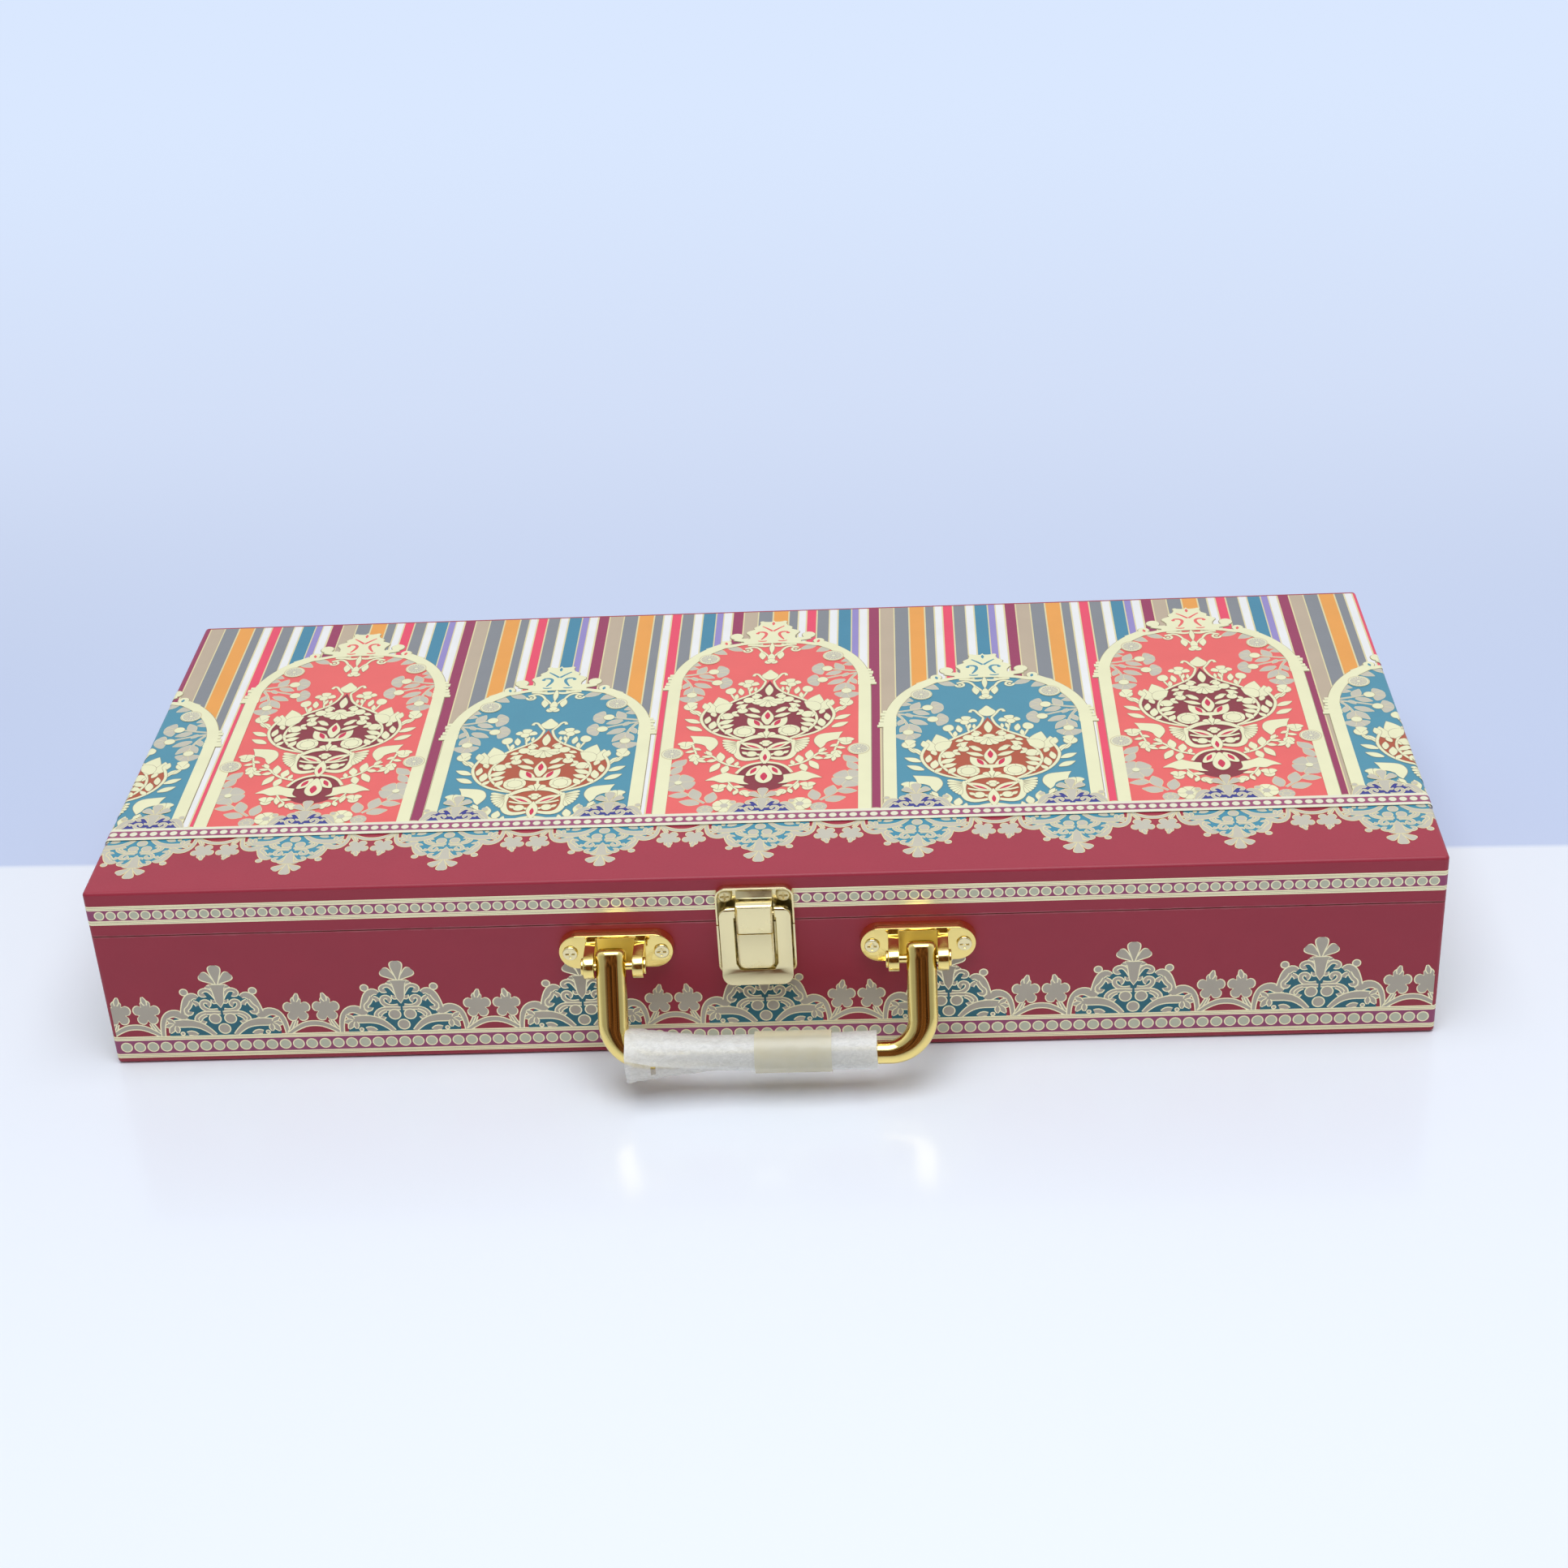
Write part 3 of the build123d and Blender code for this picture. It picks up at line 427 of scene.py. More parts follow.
def dress(names, material):
    """Gives carried-over CAD nodes their finish."""
    for name in names:
        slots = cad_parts[name].data.materials
        slots.clear()
        slots.append(material)


def softened(name, material, body, edge, segments=3):
    """Stands for a CAD node with the same shape, its points merged and its edges rounded."""
    weld, flat_turn, corner_turn = 0.0005, math.radians(0.5), math.radians(34)
    shape = bmesh.new()
    shape.from_mesh(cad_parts[name].data)
    bmesh.ops.scale(shape, vec=(1 / MM, 1 / MM, 1 / MM), verts=shape.verts)
    bmesh.ops.remove_doubles(shape, verts=shape.verts, dist=weld)
    bmesh.ops.dissolve_limit(shape, angle_limit=flat_turn, verts=shape.verts, edges=shape.edges)
    sharp = [
        e for e in shape.edges
        if len(e.link_faces) == 2 and abs(e.calc_face_angle(0)) > corner_turn
    ]
    bmesh.ops.bevel(
        shape, geom=sharp, offset=edge, affect="EDGES", segments=segments,
        profile=0.5, material=-1, clamp_overlap=True,
    )
    piece = new_piece(name + "_finished", shape, material, body)
    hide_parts(name)


def stroke(*points):
    """A brush stroke through (x, y, half width) points."""
    return ("stroke", [tuple(p) for p in points])


def dot(x, y, radius):
    """A round spot."""
    return ("dot", [(x, y, radius)])


def area(*points):
    """A filled outline with straight sides."""
    return ("area", [(x, y, 0) for x, y in points])


def blob(*points):
    """A filled outline that is smooth all round."""
    return ("blob", [(x, y, 0) for x, y in points])


def moved(shapes, dx=0.0, dy=0.0, scale=1.0, turn=0.0, flip=False):
    """Shapes mirrored in x, scaled, turned and shifted, in that order."""
    c, s = math.cos(turn), math.sin(turn)
    side = -1 if flip else 1
    result = []
    for kind, points in shapes:
        placed = []
        for x, y, w in points:
            x, y = side * x * scale, y * scale
            placed.append((dx + c * x - s * y, dy + s * x + c * y, w * scale))
        result.append((kind, placed))
    return result


def both_sides(shapes):
    """Shapes and their mirror image in x."""
    return shapes + moved(shapes, flip=True)


def leaf(x, y, degrees, size, half, bend=0.0):
    """A pointed leaf that starts at x, y."""
    c, s = math.cos(math.radians(degrees)), math.sin(math.radians(degrees))
    points = []
    for share, width in ((0, 0.25), (0.22, 0.95), (0.5, 1.25), (0.8, 0.7), (1, 0)):
        along = share * size
        aside = bend * size * math.sin(math.pi * share)
        points.append((x + c * along - s * aside, y + s * along + c * aside, half * width))
    return ("stroke", points)


def petal(x, y, degrees, size, half):
    """A round-ended petal that starts at x, y."""
    c, s = math.cos(math.radians(degrees)), math.sin(math.radians(degrees))
    stations = ((0, 0.12), (0.35, 0.6), (0.7, 1.2), (0.95, 1.1), (1, 0.35))
    return ("stroke", [(x + c * t * size, y + s * t * size, half * w) for t, w in stations])


def petals(x, y, count, size, half, start=90, sweep=360):
    """Petals spread round a point."""
    step = sweep / (count if sweep == 360 else count - 1)
    return [petal(x, y, start + step * i, size, half) for i in range(count)]


def rosette(x, y, radius):
    """A ribbed round with a pale ring: grey ground, then cream ring, ribs and centre."""
    count, rim, rib_start, rib_end = 16, radius * 0.9, 1.3, radius * 0.78
    turns = [i * math.pi / 8 for i in range(count + 1)]
    ring = [(x + rim * math.cos(a), y + rim * math.sin(a), 0.2) for a in turns]
    ribs = []
    for a in turns[:count]:
        c, s = math.cos(a), math.sin(a)
        inner = (x + rib_start * c, y + rib_start * s, 0.06)
        outer = (x + rib_end * c, y + rib_end * s, 0.12)
        ribs.append(stroke(inner, outer))
    return [dot(x, y, radius)], [stroke(*ring), dot(x, y, 0.6)] + ribs


def leaf_to(x0, y0, x1, y1, half, bend=0.0):
    """A pointed leaf between two places."""
    degrees = math.degrees(math.atan2(y1 - y0, x1 - x0))
    return leaf(x0, y0, degrees, math.dist((x0, y0), (x1, y1)), half, bend)


def tree_head():
    """Right half of the head of the flower tree: finial, curls, tulip, buds and fan."""
    return [
        stroke(
            (1.5, 95.4, 0.4), (2.2, 91, 0.42), (5.2, 86.4, 0.45), (9.6, 83, 0.48), (13, 80.6, 0.5),
            (15.5, 78, 0.5),
        ),
        stroke(
            (1.5, 95.4, 0.38), (3.3, 98.4, 0.42), (4.4, 101.2, 0.45), (6.0, 101.5, 0.5),
            (6.2, 99.6, 0.55),
        ),
        stroke((8.2, 92.4, 0.35), (7.6, 89, 0.35), (7, 85.2, 0.35)),
        stroke((14.4, 86.6, 0.35), (13.6, 84, 0.35), (12.4, 81.4, 0.35)),
        petal(8.2, 92, 152, 4.6, 1.15), petal(8.2, 92, 96, 4.9, 1.5), petal(8.2, 92, 38, 4.2, 1.1),
        dot(8.4, 92.4, 1.6),
        blob((14.2, 91.2), (16.6, 89.4), (16.2, 86.6), (14, 85.8), (12.4, 87.4), (12.6, 90)),
        leaf_to(10.2, 85, 10.9, 90.4, 0.95), leaf_to(7.4, 87, 6.4, 91.2, 0.6),
        leaf_to(5.2, 87.6, 5.0, 91, 0.5), leaf_to(12.2, 81.8, 12, 86, 0.7),
        leaf_to(2.6, 83.6, 5.6, 86, 0.7), leaf_to(2.4, 81.2, 5.4, 79.4, 0.6), dot(4.8, 83.4, 1.5),
        dot(7.4, 80.9, 2.0), leaf_to(6.2, 79.4, 2.8, 77.6, 0.75),
        leaf_to(9.2, 79.6, 12.2, 78.4, 0.8), leaf_to(11.8, 75.2, 7.6, 77.8, 1.0), dot(9.4, 73, 1.9),
        petals(9.4, 73.4, 3, 3.2, 0.9, 40, 100)[1], leaf_to(7.4, 74.6, 4, 73.4, 0.8),
        leaf_to(11.4, 72.6, 13.4, 70.6, 0.7), leaf_to(17.2, 71.4, 18.9, 84, 2.9, 0.06),
        leaf_to(19.8, 71.6, 21.9, 80.4, 1.9, -0.1), leaf_to(18.4, 71.8, 13.3, 78.6, 2.3, -0.12),
        leaf_to(22.6, 74.4, 23.7, 79.6, 1.25), leaf_to(24.6, 71.2, 29.2, 74.2, 1.2),
        dot(29, 77, 2.5), petal(29, 76.2, 100, 4.4, 1.7),
        stroke((29, 75, 0.35), (26.8, 72.6, 0.35), (24.8, 69.6, 0.35)),
    ]


def tree_garland():
    """Right half of the garland that hangs from the head, its leaves and the lotus cup."""
    outer = [(9.4, 51.6), (15.4, 53.4), (21.2, 58.2), (24.2, 64.4), (24.8, 70.4), (22.6, 75.2)]
    inner = [(8.8, 51.4), (13.6, 54.6), (17.6, 61), (18.6, 67), (16.8, 71.4)]
    shapes = [stroke(*[(x, y, 0.5) for x, y in outer]), stroke(*[(x, y, 0.45) for x, y in inner])]
    shapes += [
        leaf_to(24.8, 64.6, 30.6, 67.8, 1.2), leaf_to(23.8, 58.8, 29.8, 62.2, 1.25),
        leaf_to(20.4, 59.6, 19.6, 65.6, 1.25), leaf_to(22.4, 64, 21.6, 69.4, 1.0),
        leaf_to(17.2, 60.4, 12.2, 62.6, 1.15), leaf_to(18, 63.2, 12.4, 66.2, 1.2),
        leaf_to(15, 55.8, 12.8, 60, 1.1), leaf_to(20, 57, 17.4, 60, 0.8),
        leaf_to(19.4, 69, 20.8, 72.8, 0.9), dot(14.8, 69, 2.3),
        leaf_to(12.9, 70.6, 10.6, 68.8, 0.8), leaf_to(16.4, 66.8, 17.4, 69.6, 0.5),
        leaf_to(2.6, 67.6, 8.6, 70.4, 1.0), leaf_to(3, 71.2, 7, 74.6, 1.0),
        leaf_to(1.2, 59.4, 7.2, 67.2, 2.0, -0.06),
    ]
    shapes += petals(8.2, 57.3, 6, 4.0, 1.8, 60) + [dot(8.2, 57.3, 2.6)]
    return shapes


def knot():
    """Right half of the interlaced knot: dome, ring, eyes, feathers and inner bud."""
    shapes = [
        stroke((9.4, 49.4, 0.8), (6.6, 52, 1.0), (3.2, 53.4, 1.2), (0.4, 53.8, 1.3)),
        petal(0.6, 52.6, 58, 3.9, 0.9),
        stroke(
            (9.5, 50.2, 0.8), (10.7, 46.4, 1.0), (10.5, 41.4, 1.1), (9.0, 37.5, 1.15),
            (5.4, 36.3, 1.0), (1.6, 37.8, 0.6),
        ),
        leaf_to(0.3, 43, 9.6, 49, 1.5, 0.05),
        stroke((1.2, 43.6, 0.5), (5.4, 43.4, 0.55), (8.8, 45.2, 0.4)), dot(4.9, 40.6, 1.9),
        leaf_to(6.4, 40.4, 8.4, 42.4, 0.7), leaf_to(3.2, 40.6, 1.4, 39.2, 0.5),
        petal(0.2, 46.6, 58, 3.0, 0.8),
    ]
    shapes += [petal(10.6, 49.6 - 0.7 * i, 16 - 15 * i, 5.4 - 0.16 * i, 0.62) for i in range(7)]
    return shapes


def tree_swags():
    """Right half of the swags beside the knot: winged leaves, buds and stems."""
    return [
        blob(
            (27.9, 55.2), (27.6, 55), (24.2, 54.6), (20, 54), (17.9, 52), (17.2, 48), (19.8, 43.4),
            (19.9, 43.4), (21.4, 45.4), (21.8, 47.6), (24, 49.2), (26.4, 49.6), (26.5, 52),
        ),
        stroke((27, 50.6, 0.3), (26.2, 47, 0.35), (25.2, 43, 0.35), (24.6, 40, 0.3)),
        dot(29, 47.6, 2.1), petal(29, 47, 62, 4.0, 1.4), petal(29, 47, 118, 4.0, 1.4),
        leaf_to(26, 46, 23.2, 44.4, 0.7), leaf_to(25.6, 44, 29, 43, 0.75), dot(25.6, 39.6, 2.0),
        petal(25.6, 40.6, 268, 4.2, 1.5), leaf_to(24.6, 37.6, 21.4, 38.6, 0.7),
        leaf_to(24.4, 37.6, 21, 35.6, 0.75), leaf_to(25, 37.4, 24.4, 33.8, 0.7),
        stroke(
            (8.6, 31.4, 0.5), (13, 32.8, 0.45), (16.6, 36.4, 0.45), (18.8, 39.8, 0.4),
            (22, 42.6, 0.35),
        ),
        leaf_to(15.6, 36, 16.3, 42.4, 1.3), leaf_to(12.8, 33.6, 12, 39, 1.3),
        leaf_to(17.4, 37, 21, 36, 0.9), leaf_to(16.2, 34.6, 19.4, 28.4, 1.3),
        leaf_to(13.4, 32.6, 14.8, 27.2, 1.25), leaf_to(19.4, 40.4, 21.4, 43.8, 0.8),
        leaf_to(19.2, 39.4, 22.8, 39.8, 0.7), leaf_to(10.4, 32, 9.6, 35.4, 0.7),
    ]


def tree_root():
    """Right half of the round at the tree's foot: ring, lotus, lower leaves and buds."""
    turns = [math.radians(t) for t in (14, 32, 50, 68, 90)]
    ring = [(10.2 * math.cos(a), 24.4 + 10.2 * math.sin(a), 0.55) for a in turns]
    return [
        stroke(*ring),
        blob((0.8, 32.8), (4.6, 30.8), (6.5, 26.6), (6.3, 24.9), (3.6, 25.6), (1.6, 27.6)),
        blob(
            (20.6, 22.6), (20.5, 22.9), (17, 25.9), (13.6, 27.8), (13.4, 27.8), (10.6, 26),
            (7.2, 25.3), (6.9, 25.1), (7.4, 21.2), (5.2, 19.4), (5.3, 19.2), (8.6, 19.6),
            (11.4, 21.6), (15, 20.4), (17.4, 22.6), (20.5, 22.5),
        ),
        dot(15.7, 16.4, 1.9), petal(15.7, 16, 62, 4.0, 1.2), petal(15.7, 16, 118, 4.0, 1.2),
        leaf_to(12, 20, 11.4, 14.4, 0.95),
        stroke((12.4, 21, 0.3), (11, 17.8, 0.3), (8.8, 15.4, 0.3)),
        leaf_to(10.6, 18, 6.6, 17.4, 0.7), dot(6.6, 13.6, 1.7), petal(7.4, 14.2, 215, 4.2, 1.6),
        leaf_to(9, 15.6, 10.2, 12.2, 0.8),
    ]


def medallion():
    """Traditional tree of flowers that fills an arch, measured up from the arch's foot.
    Returns the grounds, the cream flowers, the ruby petals and the grey side flowers."""
    edge = [
        (2.4, 90), (5.6, 85.4), (12.6, 80.2), (18, 75.6), (23.2, 75), (24.8, 70), (24, 64.2),
        (21, 58.2), (15.4, 53.2), (9.4, 51.4), (10, 46), (9.8, 38.8), (5, 36.4),
    ]
    turns = [math.radians(t) for t in range(0, 360, 12)]
    ground = [
        area((0, 96), *edge, (0, 36.4), *[(-x, y) for x, y in edge[::-1]]),
        area(*[(9.9 * math.cos(a), 24.3 + 9.7 * math.sin(a)) for a in turns]),
    ]
    middle = [
        blob(
            (0, 105), (1.5, 102.4), (3.4, 100.2), (2.6, 98.2), (1.0, 96.6), (-1.0, 96.6),
            (-2.6, 98.2), (-3.4, 100.2), (-1.5, 102.4),
        ),
        leaf(0, 84.4, 90, 8.4, 1.25), dot(0, 81, 2.3), *petals(0, 80.6, 7, 5.4, 0.95, 180, 180),
        leaf(0, 62, 90, 11, 1.95), stroke((-3.6, 60.6, 0.9), (0, 59.6, 1.4), (3.6, 60.6, 0.9)),
        stroke((0, 59, 0.45), (0, 55, 0.4), (0, 52, 0.4)), petal(0, 52.8, 90, 4.2, 0.9),
        leaf(0, 33.4, 90, 11.4, 1.75), petal(0, 46.4, 90, 3.8, 1.2), dot(0, 47.2, 1.2),
        blob(
            (0, 33.2), (1.9, 29), (3.3, 24.6), (2.5, 21.2), (0, 19.4), (-2.5, 21.2), (-3.3, 24.6),
            (-1.9, 29),
        ),
    ]
    cream = both_sides(tree_head() + tree_garland() + tree_swags() + knot() + tree_root()) + middle
    ruby = [leaf(0, 66, 90, 5.4, 0.85), leaf(0, 35.6, 90, 4.8, 0.65), leaf(0, 27, 270, 5.6, 1.1)]
    ruby += both_sides([
        leaf_to(2.8, 61.2, 4.9, 65.8, 0.8), leaf_to(2.2, 44.4, 7.2, 47.5, 0.5),
        leaf_to(2.9, 30.6, 4.9, 26.4, 0.75),
    ])
    side = [
        *petals(30.2, 21.6, 5, 6.0, 2.5, 60), leaf_to(33.6, 33.6, 28.2, 38.2, 1.75, 0.1),
        leaf_to(33, 27.6, 29.6, 33.6, 1.5),
        stroke((29.6, 16.4, 0.35), (25, 12, 0.4), (20.2, 7.2, 0.4)),
        leaf_to(23, 9.8, 24.8, 17.2, 1.9), leaf_to(26.2, 13.2, 33.2, 12.8, 1.5),
        leaf_to(22, 7, 29.2, 8.8, 1.75), leaf_to(18.8, 7.4, 17.4, 14.6, 1.8),
        *petals(19.8, 2.8, 7, 2.9, 0.95), dot(19.8, 2.8, 1.3),
    ]
    return ground, cream, ruby, both_sides(side)


def foot_flowers():
    """Six-petalled cream flowers beside the crown lace at the foot of a tall arch."""
    return both_sides(petals(13.2, 5.0, 6, 4.2, 1.6, 90))


def spandrels():
    """Sprays that fall from the shoulders of an arch: cream buds, grey poppies and leaves."""
    grey = [
        *petals(20.6, 104.2, 3, 4.9, 1.9, 132, 96), *petals(19.0, 95.2, 3, 4.9, 1.8, 140, 90),
        *petals(29.2, 85.6, 3, 5.0, 1.9, 222, 92),
    ]
    pale = [
        leaf_to(23.4, 122.6, 17.2, 118.2, 1.6), leaf_to(17.4, 124.4, 10.8, 120.6, 1.4),
        leaf_to(33.2, 112.4, 26.8, 109.6, 1.5), leaf_to(33.2, 108.2, 27.6, 107.0, 1.2),
        leaf_to(27.5, 102.6, 24.6, 108.6, 1.5), leaf_to(27.0, 101.8, 21.0, 99.2, 1.35),
        stroke((33.2, 101.6, 0.35), (28, 102.6, 0.35), (23, 104, 0.3)),
        stroke((33, 100.2, 0.4), (28, 99.2, 0.35), (21.6, 96.6, 0.3)),
        stroke((32.6, 99.4, 0.4), (29.2, 94.5, 0.35), (28.8, 88, 0.3)),
        leaf_to(28.4, 95.2, 21.8, 91.6, 1.4), leaf_to(28.8, 92.4, 24.2, 85.8, 1.4),
        leaf_to(29, 92, 32, 86.4, 1.2), leaf_to(30.6, 96, 32.6, 91.4, 1.0),
        leaf_to(29.6, 100.4, 27.4, 97.4, 0.8),
    ]
    buds = [dot(21.6, 104.2, 2.0), dot(19.9, 95.4, 2.0), dot(29.0, 86.2, 1.9)]
    return both_sides(buds), both_sides(grey + pale)


def pendant():
    """Drop of scrolls and buds under the crown of an arch."""
    turns = [math.radians(t) for t in range(60, 400, 34)]
    ring = [(9.3 + 1.6 * math.cos(a), 121 + 1.6 * math.sin(a), 0.42) for a in turns]
    half = [
        stroke(*ring), dot(9.3, 120.9, 0.6),
        stroke(
            (10.4, 122.2, 0.45), (8.2, 123.6, 0.5), (6.2, 123.4, 0.5), (4.4, 121.6, 0.45),
            (3.5, 119, 0.4),
        ),
        stroke(
            (0.6, 127.2, 1.0), (4.2, 127.8, 1.0), (6.8, 126, 0.7), (5.6, 124.8, 0.5),
            (3.6, 125.6, 0.45),
        ),
        stroke((0.4, 124.6, 0.5), (2.6, 123.6, 0.8), (5.8, 125, 0.6), (9.4, 125.4, 0.9)),
        leaf_to(3.6, 119.6, 3.3, 113, 1.15),
        stroke((3.4, 119.4, 0.35), (1.8, 117.4, 0.35), (0.8, 114.6, 0.35)), dot(1.1, 110.9, 1.35),
    ]
    middle = [leaf(0, 126.6, 270, 9, 0.8), leaf(0, 117.6, 270, 6.4, 1.2), dot(0, 112, 1.5)]
    return both_sides(half) + middle


def crown():
    """Carved crown over an arch, and the openings cut through it."""
    edge = [
        (0.7, 144.4), (2.2, 144.4), (4.9, 144.9), (5.1, 142.4), (5.6, 141.2), (6.8, 140.4),
        (7.3, 138), (9.3, 136.9), (9.9, 134.6), (8.8, 132.4), (8.7, 130.6), (10.4, 129.8),
        (11.2, 127.6), (10.2, 126.4), (6.6, 126),
    ]
    half = [
        dot(6.5, 139.3, 1.0), dot(8.8, 135.4, 1.5), dot(4.4, 144.2, 0.9), dot(14, 132.6, 2.5),
        stroke((9.4, 129.4, 1.5), (12.4, 129.2, 1.1), (14.4, 130.6, 1.4)), dot(18, 127.3, 2.1),
        stroke((17.4, 126.4, 1.4), (20.6, 124.4, 1.6), (24.6, 121.6, 1.8)),
        stroke((6, 126.8, 1.0), (11, 126.6, 0.9), (15.8, 124.6, 1.1), (19.4, 124.2, 1.3)),
    ]
    middle = [area((0, 145.5), *edge, (0, 126.4), *[(-x, y) for x, y in edge[::-1]])]
    holes = both_sides([
        stroke((4.3, 140.7, 0.25), (2.4, 139, 0.42), (0.2, 136.4, 0.5)), dot(5.9, 134.8, 0.75),
        stroke(
            (5.9, 135.6, 0.35), (4.2, 136.1, 0.5), (2.4, 134.9, 0.6), (2.7, 132.2, 0.6),
            (4.4, 129.4, 0.3),
        ),
        leaf(17.6, 125.8, 78, 2.4, 0.5),
        stroke((2.2, 128.3, 0.25), (3.8, 127.6, 0.5), (5.6, 128.4, 0.25)),
    ]) + [leaf(0, 141.4, 90, 3.0, 0.5)]
    return both_sides(half) + middle, holes


def lace_point():
    """One point of the lace, standing up from its band: ground and threads."""
    edge = [(19.6, 0), (19.6, 5), (16, 8.4), (13.2, 8.6), (12.6, 13.6), (9, 16.4), (4, 19)]
    ground = [area(*edge, *[(-x, y) for x, y in edge[::-1]])]
    half = [
        petal(0.5, 21.6, 40, 6.2, 1.45),
        stroke((1.8, 20.4, 0.5), (3.3, 19.9, 0.55), (4.0, 20.6, 0.3)),
        stroke(
            (21.9, 0, 0.5), (21.7, 4.8, 0.6), (19.7, 8.8, 0.9), (16.6, 9.8, 1.3), (14.2, 8.4, 1.4),
            (12.4, 7.2, 0.9),
        ),
        dot(12.0, 18.3, 1.15),
        stroke(
            (7.6, 15.9, 0.5), (8.8, 17.0, 1.0), (11, 15.9, 1.2), (12.6, 12.8, 1.0),
            (13.4, 9.4, 0.9),
        ),
        stroke(
            (9.8, 14.6, 0.4), (10.8, 12.2, 0.5), (12.4, 11.0, 0.5), (12.2, 9.4, 0.5),
            (10.9, 9.2, 0.55), (10.6, 10.2, 0.6),
        ),
        stroke((9.4, 14.2, 0.45), (8.2, 13.8, 0.5), (7.8, 12.6, 0.65)),
        leaf_to(13.2, 5.0, 12.2, 7.2, 0.5),
        stroke(
            (0.9, 15.2, 0.45), (2.6, 18.6, 0.45), (4.6, 19.3, 0.5), (6.5, 18.2, 0.5),
            (6.0, 16.6, 0.55), (4.8, 17.2, 0.75),
        ),
        stroke((1.2, 14.2, 0.4), (2.6, 13.4, 0.4), (2.2, 14.9, 0.5)),
        stroke(
            (1.0, 10.6, 0.45), (3.6, 9.9, 0.5), (6.4, 11.6, 0.55), (6.6, 13.9, 0.5),
            (4.8, 14.6, 0.5), (3.4, 13.2, 0.45), (4.6, 12.5, 0.7),
        ),
        stroke(
            (0.4, 9.4, 0.35), (3.2, 9.5, 0.45), (7.0, 9.4, 0.5), (9.2, 7.4, 0.55), (9.0, 5.4, 0.55),
            (7.2, 5.0, 0.6), (6.6, 6.2, 0.65),
        ),
        stroke((5.4, 8.6, 0.3), (7.4, 8.0, 0.4), (8.0, 6.6, 0.45)), dot(2.7, 7.0, 1.85),
        stroke(
            (3.6, 0, 0.5), (6.4, 3.4, 0.9), (10.6, 5.2, 1.25), (15.4, 5.3, 1.45), (18.4, 5.0, 1.0),
        ),
        leaf_to(17.2, 5.2, 19.8, 7.2, 0.6), leaf_to(17.6, 4.6, 20.6, 4.2, 0.7),
        leaf_to(17.4, 4.4, 19.4, 1.2, 0.7), leaf_to(16.6, 4.2, 16.6, 1.2, 0.6),
        stroke((10.2, 0, 0.7), (11.4, 1.5, 0.9), (13.2, 0.8, 0.6)), dot(15.0, 0.9, 0.5),
    ]
    middle = [
        petal(0, 21.4, 90, 7.8, 1.7),
        area(
            (-2.9, 21.1), (2.9, 21.1), (2.1, 19.6), (1.7, 17.4), (1.3, 14), (0, 11.8), (-1.3, 14),
            (-1.7, 17.4), (-2.1, 19.6),
        ),
        dot(0.0, 2.7, 1.85),
    ]
    return ground, both_sides(half) + middle


def lace_leaves():
    """Two lobed leaves on stems over a low arch, between two points of the lace."""
    lobes = []
    for degrees in range(0, 360, 9):
        a = math.radians(degrees)
        r = 2.6 + 2.0 * abs(math.cos(math.radians(2.5 * degrees))) ** 0.6
        lobes.append((5.1 + r * math.sin(a), 10.0 + 1.12 * r * math.cos(a)))
    half = [
        stroke((5.8, 5.4, 0.25), (6.8, 2.6, 0.25), (7.8, 0, 0.3)),
        stroke((6.6, 5.2, 0.25), (8.0, 2.4, 0.25), (9.2, 0, 0.3)), area(*lobes),
        leaf_to(5.2, 13.2, 4.4, 16.8, 0.6),
    ]
    arch = [
        stroke((-9.0, 0, 0.4), (-4.6, 3.4, 0.75), (0, 4.3, 0.85), (4.6, 3.4, 0.75), (9.0, 0, 0.4)),
    ]
    return both_sides(half) + arch


def printing_order(shapes):
    """Height of each shape, in hairs: one more than the highest earlier one that it may
    cover, so that shapes keep their order and two that overlap never share a plane."""
    margin = 0.3
    placed = []
    for kind, points in shapes:
        xs = [(x - w, x + w) for x, y, w in points]
        ys = [(y - w, y + w) for x, y, w in points]
        low_x, high_x = min(x[0] for x in xs) - margin, max(x[1] for x in xs) + margin
        low_y, high_y = min(y[0] for y in ys) - margin, max(y[1] for y in ys) + margin
        under = [
            height for x0, x1, y0, y1, height in placed
            if x0 < high_x and low_x < x1 and y0 < high_y and low_y < y1
        ]
        placed.append((low_x, high_x, low_y, high_y, 1 + max(under, default=0)))
    return [height for *_, height in placed]


